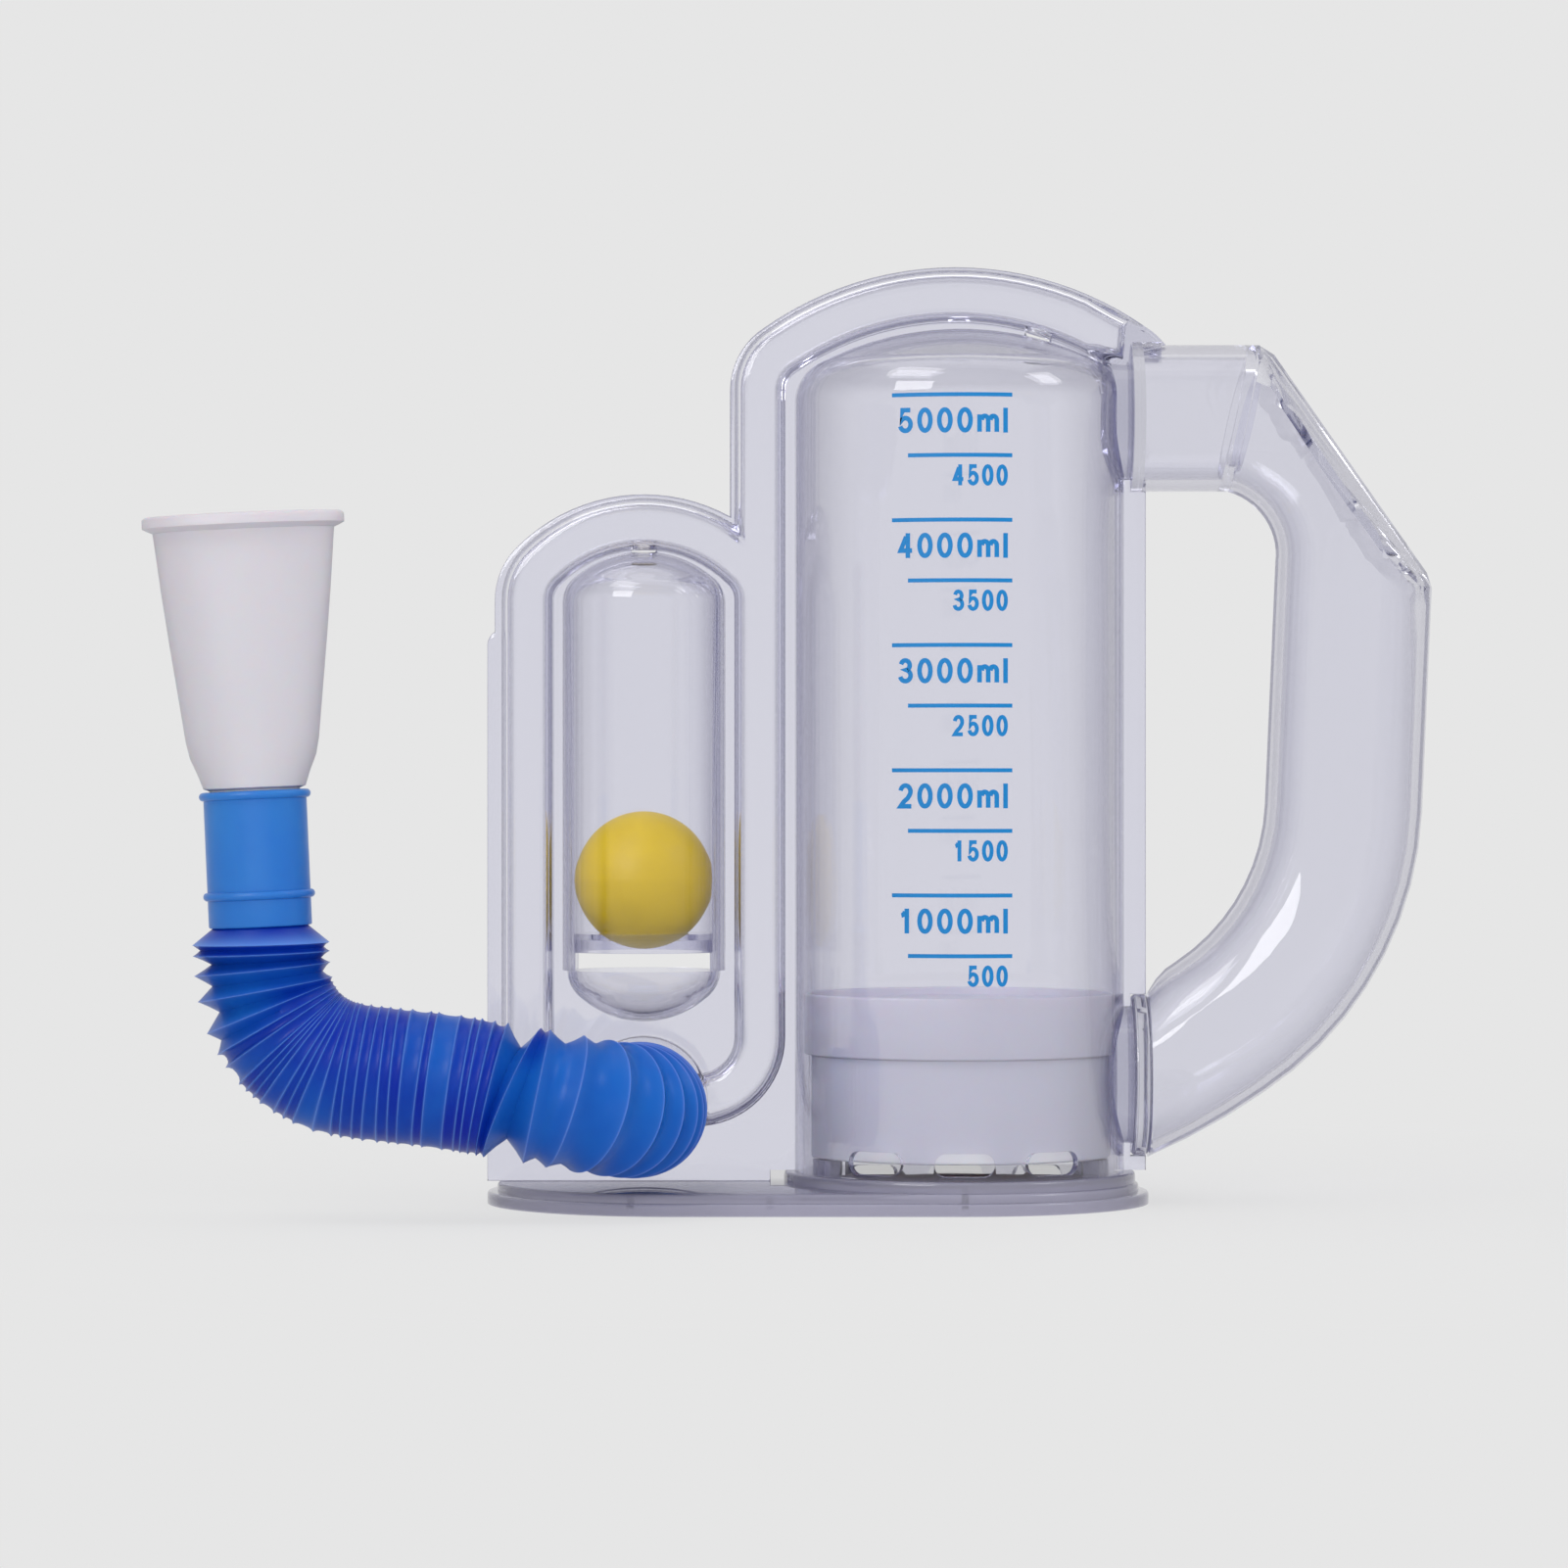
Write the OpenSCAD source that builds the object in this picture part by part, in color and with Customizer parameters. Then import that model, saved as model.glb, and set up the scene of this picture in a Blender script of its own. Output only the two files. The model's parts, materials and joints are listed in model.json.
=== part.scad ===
// Breathing trainer: a clear two-half housing with a measuring chamber and a ball flow tube,
// joined by one air loop, on a shallow base, with a hollow grip, a corrugated hose and a mouthpiece.
// Millimetres. Z is up and the scale faces -Y. The origin lies on the table, on the chamber's axis,
// which is also the middle of the width over housing and grip.

/* [Base] */
// Distance from the chamber's axis to the housing's left edge
body_left = 120.4; // [110:0.1:140]
// Half of the base's depth, and the radius of its right end
base_half_d = 48.2; // [46:0.1:60]
// Height of the base's rim
rim_h = 3.1; // [2:0.1:5]
// Height of the base's deck
deck_h = 5.4; // [4:0.1:7]
// Height of the round plinth under the chamber
plinth_h = 8.2; // [7:0.1:11]
// Distance from the rim's edge in to the deck's edge
rim_w = 2.6; // [1.5:0.1:4]
// Distance from the rim's edge in to the plinth's edge
plinth_inset = 3.4; // [2.9:0.1:5]
// Wall of the base
base_wall = 1.8; // [1.2:0.1:2.4]

/* [Chamber] */
// Outer radius of the measuring chamber
chamber_r = 42; // [38:0.5:44]
// Wall of the chamber and of the ball tube
wall = 2; // [1.4:0.1:2.8]
// Height at which the chamber's dome springs
chamber_spring_z = 204; // [190:1:220]
// Rise of the chamber's dome
dome_h = 18.6; // [14:0.1:19]
// Shoulder radius of the chamber's dome
dome_shoulder_r = 11; // [6:0.5:12]
// Width of an air slot at the chamber's foot
slot_w = 15; // [8:0.5:18]
// Height of an air slot
slot_h = 5.8; // [3:0.1:8]
// Height of the air slots' middle
slot_z = 12.2; // [12:0.1:16]
// Angle between neighbouring air slots
slot_pitch_deg = 32.5; // [26:0.5:45]

/* [Rims] */
// Thickness of the flat web and of each half's welded flange
web_t = 1.8; // [1:0.1:2.5]
// Middle of the crown over the chamber
crown_x = -1; // [-2:0.1:1]
// Half span of the crown's outline
crown_a = 57.5; // [56:0.1:60]
// Rise of the crown's outline
crown_b = 31.4; // [29:0.1:36]
// Shoulder radius of the crown's outline
crown_r = 19; // [16:0.5:22]
// Height at which the crown springs
crown_z = 207; // [206:0.5:215]
// Width of the flange beside the chamber, on its right
flange_w = 5.5; // [4:0.1:7]
// Half span of the outline over the ball tube
hood_a = 38; // [36:0.1:40]
// Rise of that outline
hood_b = 27; // [25:0.1:30]
// Its shoulder radius
hood_r = 19; // [15:0.5:21]
// Height at which it springs
hood_z = 153.5; // [150:0.5:165]
// Height of the step in the left edge
step_z = 146; // [120:1:150]
// Corner radius of that step
step_r = 4; // [2:0.5:6]

/* [Air loop] */
// Half width of the loop's ridge
duct_half_w = 6.5; // [5:0.1:6.8]
// Depth of the ridge in front of the middle plane
duct_d = 9; // [7:0.1:11]
// Wall of the ridge
duct_wall = 1.5; // [1:0.1:2]
// Distance from the chamber's axis to the middle of the riser beside it
riser_x = 50.9; // [50:0.05:51.5]
// Height of the port and of the loop's bottom run
port_z = 26; // [25:0.5:30]
// Radius of the loop's lower elbows
elbow_r = 16.25; // [12:0.25:18]
// Rise of the loop over the chamber, at its middle line
crown_duct_b = 23.9; // [22.5:0.1:24.5]
// Rise of the loop over the ball tube, at its middle line
hood_duct_b = 19.4; // [19:0.1:20]
// Shoulder radius of the loop's upper bends
duct_bend_r = 12; // [8:0.5:13]
// Distance from the chamber's axis to the closed right end of the loop's air space
crown_duct_end = 36; // [25:0.5:40]
// Radius of the vents that lead into the loop
vent_r = 3.5; // [2:0.1:4]

/* [Ball tube] */
// Distance from the chamber's axis to the ball tube's axis
ball_x = 80.5; // [80:0.1:81.5]
// Outer radius of the ball tube
tube_r = 20.8; // [20:0.1:21.2]
// Height at which its dome springs
tube_spring_z = 153; // [145:0.5:156]
// Rise of its dome
tube_dome_h = 12.9; // [9:0.1:13]
// Shoulder radius of its dome
tube_shoulder_r = 8; // [5:0.5:8]
// Radius of the ball
ball_r = 17.5; // [15:0.1:17.8]
// Height of the seat ring's top
seat_top_z = 68.6; // [66:0.1:74]
// Thickness of the seat ring
seat_t = 4.7; // [3:0.1:5]
// Radius of the hole that the ball sits in
seat_hole_r = 11.5; // [9:0.1:13]
// Height of the inlet slot under the seat
inlet_h = 4.7; // [3:0.1:6]
// Width of the inlet slot
inlet_w = 34; // [26:0.5:35]
// Outer radius of the inlet cup
cup_r = 19.6; // [18:0.1:20.5]
// Depth of the inlet cup
cup_h = 13.2; // [11:0.1:14]
// Shoulder radius of the inlet cup
cup_shoulder_r = 9; // [6:0.5:9.5]

/* [Piston] */
// Height of the piston's foot at rest
piston_foot_z = 12; // [12:0.1:14]
// Height of the step between skirt and band
piston_step_z = 38; // [30:0.5:42]
// Height of the piston's top edge at rest
piston_top_z = 53.4; // [48:0.1:58]
// Wall of the piston
piston_wall = 1.2; // [0.8:0.1:2]
// Gap between the piston's band and the chamber's bore
piston_gap = 0.4; // [0.2:0.05:0.8]
// Distance from the band in to the skirt
skirt_inset = 1.3; // [0.6:0.1:3]
// Depth of the piston's top panel below its edge
panel_drop = 2.2; // [1:0.1:6]

/* [Scale] */
// Height of the lowest major line
first_major_z = 79; // [74:0.5:84]
// Distance between major lines
major_step = 31; // [20:0.5:31]
// Distance from a major line down to its minor line
minor_drop = 15; // [8:0.5:16]
// Height of a printed line
line_h = 1; // [0.5:0.1:2]
// Thickness of the ink
ink_t = 0.15; // [0.1:0.05:0.3]

/* [Port and hose] */
// Radius of the housing's boss behind the port
boss_r = 16.5; // [14:0.5:17]
// Distance that the boss stands in front of the middle plane
boss_d = 9.6; // [9.4:0.1:12]
// Radius of the port's flange
port_flange_r = 14.5; // [13.5:0.1:16]
// Thickness of the port's flange
port_flange_t = 2.4; // [1.5:0.1:3]
// Radius of the port's spigot, a 22 mm cone nominal
spigot_r = 11; // [10:0.05:11.2]
// Bore radius of the port's spigot
spigot_bore_r = 9.2; // [7:0.1:9.6]
// Length of the port's spigot in front of its flange
spigot_l = 14; // [10:0.5:15]
// Wall of the hose's cuffs
cuff_wall = 1.35; // [1:0.05:2]
// Gap between a cuff and what it slides over
cuff_gap = 0.15; // [0.1:0.05:0.4]
// Length of the mouth end's cuff
cuff_l = 33; // [26:0.5:40]
// Height of a cuff's bead over the cuff
bead_h = 0.9; // [0.4:0.1:1.5]
// Radius of the hose at the crest of a rib
crest_r = 16.4; // [15:0.1:17]
// Radius of the hose at the root between ribs
root_r = 13.9; // [12.5:0.1:14.5]
// Wall of the corrugated hose
hose_wall = 0.9; // [0.5:0.1:1.2]

/* [Mouthpiece] */
// Lean of the mouthpiece and its cuff to the left
mouth_lean_deg = 2.5; // [0:0.5:5]
// Length of the mouthpiece above its cuff
mouth_h = 67; // [55:0.5:80]
// Length of the mouthpiece's spigot inside the cuff
mouth_spigot_l = 15; // [10:0.5:16]
// Wall of the mouthpiece
mouth_wall = 1.5; // [1:0.1:2.2]
// Half width of the mouthpiece's body below the lip
mouth_half_w = 21.8; // [18:0.1:24]
// Half depth of the mouthpiece's body below the lip
mouth_half_d = 9.6; // [8:0.1:14]
// Distance that the lip stands out of the body
lip_w = 2.8; // [1:0.1:4]
// Height of the lip
lip_h = 4.2; // [2:0.1:6]

/* [Grip] */
// Radius of the upper stub
stub_r = 18.7; // [16:0.1:19.5]
// Height of the upper stub's axis
stub_z = 199.9; // [192:0.1:205]
// Wall of the grip, the stub and the collar
grip_wall = 3; // [2:0.1:4]
// Distance from the chamber's wall out to the end of the collar seats
seat_l = 1.6; // [1:0.1:3]
// Distance from the collar seats to the lower collar's outer face
collar_t = 4.4; // [3:0.1:5]
// Length of the upper stub, up to the centre of the grip's upper bend
stub_l = 21.3; // [16:0.1:32]
// Length of the stub's lip inside the grip
lip_l = 1.8; // [1:0.1:2.2]
// Gap between the stub's lip and the grip's wall
lip_gap = 2.2; // [1.5:0.1:3]
// Wall of the stub's lip
lip_wall = 1.5; // [1:0.1:2.5]
// Radius of the upper bend at the grip's middle line
bend_r = 35.9; // [32:0.1:40]
// Radius of the grip
grip_r = 20.1; // [18:0.1:21]
// Angle of the seam between stub and grip, from upright
seam_deg = 12; // [6:1:20]
// Lean of the grip's straight part
lean_deg = 2.5; // [0:0.5:5]
// Length of the grip's straight part
straight_l = 62; // [40:1:64]
// Radius of the lower curve at the grip's middle line
curve_r = 70.7; // [60:0.1:72]
// Turn of the lower curve from level
curve_deg = 56.6; // [50:0.1:58]
// Half height of the grip's lower end
foot_half_h = 21; // [18:0.1:22]
// Slope of the flat on the upper bend, from level
flat_deg = 55; // [45:1:65]
// Distance from the upper bend's centre to the flat's ridge
flat_d = 42.6; // [40:0.1:50]
// Fall of the flat on each side of its ridge
flat_fall_deg = 19; // [10:1:25]

/* [Hidden] */
$fn = 96;

// Gap that keeps bonded pieces from cutting into each other
seat_gap = 0.05;
// Overrun of every cut
over = 1;
// Distance that an arch's crown is drawn in, so that its arcs cross instead of only touching
arch_ease = 0.02;
// Clearance over the seat under a moving piece at rest
rest_gap = 0.3;

bore_r = chamber_r - wall;
left_riser_x = 2 * ball_x - riser_x;
tube_bore_r = tube_r - wall - 0.2 * wall;
piston_r = bore_r - piston_gap;
skirt_r = piston_r - skirt_inset;
// Turn of the piston's rest pads from the housing's plane, and the arc that each one takes
pad_turn_deg = 22;
pad_deg = 12;
inlet_top_z = seat_top_z - seat_t;
cup_top_z = inlet_top_z - inlet_h;
elbow_z = port_z + elbow_r;
flange_right = chamber_r + flange_w;
collar_x = chamber_r + seat_l;
bend_x = collar_x + stub_l;
collar_outer_x = collar_x + collar_t;
stub_top_z = stub_z + stub_r;

// Middle line of the grip
bend_z = stub_z - bend_r;
straight_from = [bend_x + bend_r * cos(lean_deg), bend_z - bend_r * sin(lean_deg)];
straight_to = straight_from - straight_l * [sin(lean_deg), cos(lean_deg)];
curve_at = straight_to - curve_r * [cos(lean_deg), -sin(lean_deg)];
tail_from = curve_at + curve_r * [cos(curve_deg), -sin(curve_deg)];
tail_l = (tail_from[0] - collar_outer_x) / sin(curve_deg);
collar_z = tail_from[1] - tail_l * cos(curve_deg);
collar_r = foot_half_h - 0.6 * (foot_half_h - grip_r);

// Route of the hose, from the port's spigot to the mouthpiece's cuff
hose_route = [[-80.5, -26.5, 26], [-80.5, -34, 26], [-80.5, -43, 26], [-82.4, -51.4, 26.4],
    [-87.4, -58.6, 27.4], [-94.6, -63.3, 28.8], [-103, -65, 30.4], [-114, -65, 32.2], [-125, -65, 34],
    [-136, -65, 35.4], [-145.5, -65, 36.4], [-155.4, -65, 38.4], [-163.9, -65, 43.8], [-169.4, -65, 52],
    [-171.4, -65, 61], [-171.9, -65, 72], [-172.2, -65, 80], [-172.6, -65, 88]];
// Points of the route at which the ribs start and end
ribs_from = 1;
ribs_to = 15;
// Widths of its ribs from the port on, as shares: a few folds are drawn open and most are closed
rib_width_shares = concat([for (i = [0:4]) 1.7], [2.9, 3.1, 2.5, 2.4], [for (i = [0:17]) 1], [1.2, 1.2],
    [for (i = [0:6]) 1.7], [1, 0.8, 0.8]);
// Sides of the hose, and steps of its route between two points
hose_sides = 8;
route_steps = 4;

// Area under a three-centred arch of half span a, rise b and shoulder radius r
function arch_big_r(a, b, r) = ((a - r) * (a - r) + b * b - r * r) / (2 * (b - r));
function arch_turn(a, b, r) = atan2(arch_big_r(a, b, r) - b, a - r);
module arch_area(a, b, r) {
    big = arch_big_r(a, b, r);
    turn = arch_turn(a, b, r);
    reach = 2 * big;
    for (side = [-1, 1]) translate([side * (a - r), 0]) circle(r);
    intersection() {
        translate([0, b - big]) circle(big - arch_ease, $fn = 2 * $fn);
        polygon([[0, b - big], [reach * cos(turn), b - big + reach * sin(turn)],
            [-reach * cos(turn), b - big + reach * sin(turn)]]);
    }
}

// Half section of a domed tube, for a revolve: radius a up to height spring, then an arch
module domed_section(a, foot, spring, b, r) {
    intersection() {
        union() {
            translate([0, foot]) square([a, spring - foot]);
            translate([0, spring]) arch_area(a, b, r);
        }
        translate([0, foot]) square([a, spring - foot + b + over]);
    }
}

// The housing is drawn in the middle plane, with local Z towards the viewer, and then stood up
module stand_up() {
    rotate([90, 0, 0]) children();
}

module front_half_turn() {
    rotate([0, 0, 180]) rotate_extrude(angle = 180) children();
}

// Outline of the web and its welded flange
module housing_outline() {
    difference() {
        union() {
            translate([crown_x - crown_a, plinth_h])
                square([flange_right - crown_x + crown_a, crown_z - plinth_h]);
            translate([crown_x, crown_z]) arch_area(crown_a, crown_b, crown_r);
            translate([-ball_x - hood_a, deck_h]) square([ball_x + hood_a - base_half_d, hood_z - deck_h]);
            translate([-ball_x, hood_z]) arch_area(hood_a, hood_b, hood_r);
            translate([-body_left, deck_h]) square([2 * step_r, step_z - step_r - deck_h]);
            translate([step_r - body_left, step_z - step_r]) circle(step_r);
        }
        translate([flange_right, 0]) square([crown_a, stub_top_z]);
        translate([collar_x, stub_z - stub_r - seat_gap]) square([crown_a, 2 * (stub_r + seat_gap)]);
        translate([collar_x, collar_z - collar_r - seat_gap]) square([crown_a, 2 * (collar_r + seat_gap)]);
    }
}

// Part of a band that follows a three-centred arch, above the arch's foot
module arch_band(x, z, a, b, r, half_w) {
    intersection() {
        translate([x, z]) difference() {
            arch_area(a + half_w, b + half_w, r + half_w);
            arch_area(a - half_w, b - half_w, r - half_w);
        }
        translate([x - 2 * a, z]) square([4 * a, 4 * b]);
    }
}

// Quarter of a flat ring below a centre: side -1 for its left quarter, 1 for its right one
module elbow_band(x, side, half_w) {
    intersection() {
        translate([x, elbow_z]) difference() {
            circle(elbow_r + half_w);
            circle(elbow_r - half_w);
        }
        translate([x + min(side, 0) * 2 * elbow_r, elbow_z - 2 * elbow_r]) square(2 * elbow_r);
    }
}

// The air loop, flat: up beside the ball tube on both sides, over the tube and over the chamber
module loop_area(half_w, crown_end) {
    for (x = [-riser_x, -left_riser_x]) translate([x - half_w, elbow_z])
        square([2 * half_w, (x == -riser_x ? crown_z : hood_z) - elbow_z]);
    elbow_band(-riser_x - elbow_r, 1, half_w);
    elbow_band(elbow_r - left_riser_x, -1, half_w);
    translate([elbow_r - left_riser_x, port_z - half_w])
        square([left_riser_x - riser_x - 2 * elbow_r, 2 * half_w]);
    arch_band(-ball_x, hood_z, left_riser_x - ball_x, hood_duct_b, duct_bend_r, half_w);
    intersection() {
        arch_band(crown_x, crown_z, riser_x + crown_x, crown_duct_b, duct_bend_r, half_w);
        translate([-2 * crown_a, crown_z]) square([2 * crown_a + crown_end, crown_b]);
    }
}

// Seat for the stub and the collar: a short boss between the chamber's wall and the flange's cut
module collar_seat(z, r) {
    intersection() {
        translate([bore_r - 2 * wall, z]) rotate([0, 90, 0]) cylinder(r = r, h = collar_x - bore_r + 2 * wall);
        translate([0, z - r, 0]) cube([chamber_r + collar_x, 2 * r, r + over]);
    }
}

// Slots through the chamber's foot that let air in under the piston
module foot_slots() {
    for (place = [-1:1]) rotate([0, 0, place * slot_pitch_deg]) translate([0, over - bore_r + wall, slot_z])
        rotate([90, 0, 0]) linear_extrude(2 * wall + 2 * over) {
            square([slot_w - slot_h, slot_h], center = true);
            for (side = [-1, 1]) translate([side * (slot_w - slot_h) / 2, 0]) circle(slot_h / 2);
        }
}

// Inside of the ball tube and its inlet cup
module tube_void() {
    drop = tube_r - tube_bore_r;
    translate([-ball_x, 0, 0]) {
        front_half_turn() domed_section(tube_bore_r, inlet_top_z - inlet_h, tube_spring_z, tube_dome_h - drop,
            tube_shoulder_r - drop);
        front_half_turn() translate([0, 2 * cup_top_z]) mirror([0, 1]) domed_section(cup_r - wall,
            cup_top_z - over, cup_top_z, cup_h - wall, cup_shoulder_r - wall);
    }
}

// Front half of the housing, without the port's boss
module half_shell() {
    difference() {
        union() {
            stand_up() {
                linear_extrude(web_t) housing_outline();
                linear_extrude(duct_d) intersection() {
                    loop_area(duct_half_w, crown_a);
                    housing_outline();
                }
                collar_seat(stub_z, stub_r - grip_wall);
                collar_seat(collar_z, collar_r - grip_wall);
            }
            front_half_turn() domed_section(chamber_r, plinth_h, chamber_spring_z, dome_h, dome_shoulder_r);
            translate([-ball_x, 0, 0]) {
                front_half_turn() domed_section(tube_r, cup_top_z, tube_spring_z, tube_dome_h, tube_shoulder_r);
                front_half_turn() translate([0, 2 * cup_top_z]) mirror([0, 1]) domed_section(cup_r,
                    cup_top_z - over, cup_top_z, cup_h, cup_shoulder_r);
            }
            children();
        }
        front_half_turn() domed_section(bore_r, plinth_h - over, chamber_spring_z, dome_h - wall,
            dome_shoulder_r - wall);
        tube_void();
        stand_up() translate([0, 0, -over]) linear_extrude(duct_d - duct_wall + over)
            loop_area(duct_half_w - duct_wall, crown_duct_end);
        foot_slots();
        translate([-ball_x - inlet_w / 2, -2 * tube_r, cup_top_z]) cube([inlet_w, 1.75 * tube_r, inlet_h]);
        for (vent = [[crown_x + chamber_r / 2, chamber_spring_z + dome_h - 3 * wall],
            [-ball_x, tube_spring_z + tube_dome_h - 3 * wall]])
            translate([vent[0], 0, vent[1]]) cylinder(r = vent_r, h = 5 * wall);
    }
}

module front_shell() {
    color([0.86, 0.87, 0.92, 0.45]) difference() {
        half_shell() translate([-ball_x, 0, port_z]) rotate([90, 0, 0]) cylinder(r = boss_r, h = boss_d);
        translate([-ball_x, duct_wall - duct_d, port_z]) rotate([90, 0, 0])
            cylinder(r = spigot_bore_r, h = boss_d);
    }
}

module rear_shell() {
    color([0.84, 0.85, 0.91, 0.45]) mirror([0, 1, 0]) half_shell();
}

// Plan of the base, drawn in from its edge
module base_plan(inset) {
    d = base_half_d - inset;
    for (x = [0, base_half_d - body_left]) translate([x, 0]) circle(d);
    translate([base_half_d - body_left, -d]) square([body_left - base_half_d, 2 * d]);
}

module base_tray() {
    plinth_r = base_half_d - plinth_inset;
    color([0.80, 0.80, 0.87, 0.6]) difference() {
        union() {
            linear_extrude(rim_h) base_plan(0);
            linear_extrude(deck_h) base_plan(rim_w);
            cylinder(r = plinth_r, h = plinth_h);
            for (side = [0, 180], turn = [-pad_turn_deg, pad_turn_deg]) rotate([0, 0, side + turn - pad_deg / 2])
                rotate_extrude(angle = pad_deg) translate([skirt_r - 2 * wall, deck_h])
                    square([2 * wall, piston_foot_z - rest_gap - deck_h]);
        }
        difference() {
            translate([0, 0, -over]) union() {
                linear_extrude(deck_h - base_wall + over) base_plan(rim_w + base_wall);
                cylinder(r = plinth_r - base_wall, h = plinth_h - base_wall + over);
            }
            for (x = [-ball_x - wall, -base_half_d, 0]) translate([x - base_wall / 2, -base_half_d, rim_h / 2])
                cube([base_wall, 2 * base_half_d, plinth_h]);
            translate([-body_left, -base_wall / 2, rim_h / 2])
                cube([body_left + base_half_d, base_wall, plinth_h]);
        }
    }
}

module piston() {
    panel_z = piston_top_z - panel_drop;
    color([0.80, 0.80, 0.84]) rotate_extrude() {
        translate([skirt_r - piston_wall, piston_foot_z]) square([piston_wall, piston_step_z - piston_foot_z]);
        translate([skirt_r - piston_wall, piston_step_z])
            square([piston_r - skirt_r + piston_wall, piston_wall]);
        translate([piston_r - piston_wall, piston_step_z]) square([piston_wall, piston_top_z - piston_step_z]);
        translate([0, panel_z - piston_wall]) square([piston_r, piston_wall]);
    }
}

module flow_ball() {
    over_seat = sqrt(ball_r * ball_r - seat_hole_r * seat_hole_r);
    color([0.86, 0.72, 0.17]) translate([-ball_x, 0, seat_top_z + over_seat + rest_gap]) sphere(ball_r);
}

module ball_seat() {
    lip = seat_t / 3;
    color([0.84, 0.84, 0.90]) translate([-ball_x, 0, inlet_top_z]) rotate_extrude() {
        translate([seat_hole_r, seat_t - lip]) square([tube_bore_r - 2 * seat_gap - seat_hole_r, lip]);
        translate([tube_bore_r - 2 * seat_gap - wall, 0]) square([wall, seat_t]);
    }
}

// Printed lines of the scale, each a thin band on the chamber's front
module scale_lines() {
    left_share = 0.426;
    minor_left_share = 0.333;
    right_share = 0.279;
    right = asin(right_share);
    color([0.10, 0.55, 0.82]) for (step = [0:4], minor = [0, 1]) {
        left = asin(minor == 1 ? minor_left_share : left_share);
        translate([0, 0, first_major_z + step * major_step - minor * minor_drop - line_h / 2])
            rotate([0, 0, -90 - left]) rotate_extrude(angle = left + right)
                translate([chamber_r + seat_gap, 0]) square([ink_t, line_h]);
    }
}

module hose_port() {
    color([0.84, 0.85, 0.91, 0.6]) translate([-ball_x, -boss_d - seat_gap, port_z]) rotate([90, 0, 0])
        difference() {
            union() {
                cylinder(r = port_flange_r, h = port_flange_t);
                cylinder(r = spigot_r, h = port_flange_t + spigot_l);
            }
            translate([0, 0, -over]) cylinder(r = spigot_bore_r, h = port_flange_t + spigot_l + 2 * over);
        }
}

// A plain cuff of the hose, along +Z, with a bead round its open end and one near the ribs
module cuff(long, bead_at) {
    bore = spigot_r + cuff_gap;
    outer = bore + cuff_wall;
    difference() {
        union() {
            cylinder(r = outer, h = long);
            for (z = [bead_at, long - 2 * bead_h]) translate([0, 0, z]) rotate_extrude() {
                square([outer, 2 * bead_h]);
                translate([outer, bead_h]) circle(bead_h);
            }
        }
        translate([0, 0, -over]) cylinder(r = bore, h = long + 2 * over);
    }
}

module port_cuff() {
    from_y = boss_d + port_flange_t + rest_gap;
    color([0.08, 0.30, 0.75]) translate([-ball_x, hose_route[ribs_from][1] + seat_gap, port_z])
        rotate([-90, 0, 0]) cuff(-hose_route[ribs_from][1] - seat_gap - from_y, 3 * bead_h);
}

// Place of the mouth end's cuff: on the hose's last stretch, leaning with it
module on_mouth_axis() {
    translate(hose_route[ribs_to]) rotate([0, -mouth_lean_deg, 0]) children();
}

module mouth_cuff() {
    color([0.22, 0.52, 0.85]) on_mouth_axis() translate([0, 0, seat_gap]) cuff(cuff_l - seat_gap, cuff_l / 5);
}

function added(v, n = 0, sum = 0) = n == len(v) ? [] : concat([sum + v[n]], added(v, n + 1, sum + v[n]));
function spline(a, b, c, d, t) = 0.5 * (2 * b + (c - a) * t + (2 * a - 5 * b + 4 * c - d) * t * t
    + (3 * b - a - 3 * c + d) * t * t * t);
function unit(v) = v / norm(v);
function across(u, t) = unit(u - (u * t) * t);

// The hose's route as a fine line, the length along it, and its place at any length
last_point = len(hose_route) - 1;
fine_route = [for (i = [0:last_point - 1], k = [0:route_steps - 1]) spline(hose_route[max(i - 1, 0)],
    hose_route[i], hose_route[i + 1], hose_route[min(i + 2, last_point)], k / route_steps),
    hose_route[last_point]];
route_len = concat([0], added([for (i = [1:len(fine_route) - 1]) norm(fine_route[i] - fine_route[i - 1])]));
function route_at(s) = [for (axis = [0:2]) lookup(s, [for (i = [0:len(fine_route) - 1]) [route_len[i],
    fine_route[i][axis]]])];

rib_start = route_len[ribs_from * route_steps];
rib_end = route_len[ribs_to * route_steps];
rib_sums = added(rib_width_shares);
rib_scale = (rib_end - rib_start) / rib_sums[len(rib_sums) - 1];
plain_r = spigot_r + cuff_gap - seat_gap;
// Each ring of the hose: its place along the route and its radius
hose_rings = concat([[0, plain_r], [rib_start, plain_r]],
    [for (i = [0:len(rib_sums) - 1], half = [0, 1])
        [rib_start + (rib_sums[i] - (0.75 - 0.5 * half) * rib_width_shares[i]) * rib_scale,
            half == 0 ? crest_r : root_r]],
    [[rib_end, plain_r], [route_len[last_point * route_steps], plain_r]]);
hose_places = [for (ring = hose_rings) route_at(ring[0])];
ring_count = len(hose_rings);
hose_ways = [for (i = [0:ring_count - 1])
    unit(hose_places[min(i + 1, ring_count - 1)] - hose_places[max(i - 1, 0)])];
function carried(i, u) = i == ring_count ? [] : let (v = across(u, hose_ways[i])) concat([v], carried(i + 1, v));
hose_ups = carried(0, [0, 0, 1]);
function hose_skin(inset) = [for (i = [0:ring_count - 1], k = [0:hose_sides - 1])
    let (turn = 360 * (k + 0.5) / hose_sides, u = hose_ups[i], v = cross(hose_ways[i], u))
        hose_places[i] + (hose_rings[i][1] - inset) * (cos(turn) * u + sin(turn) * v)];

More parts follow.
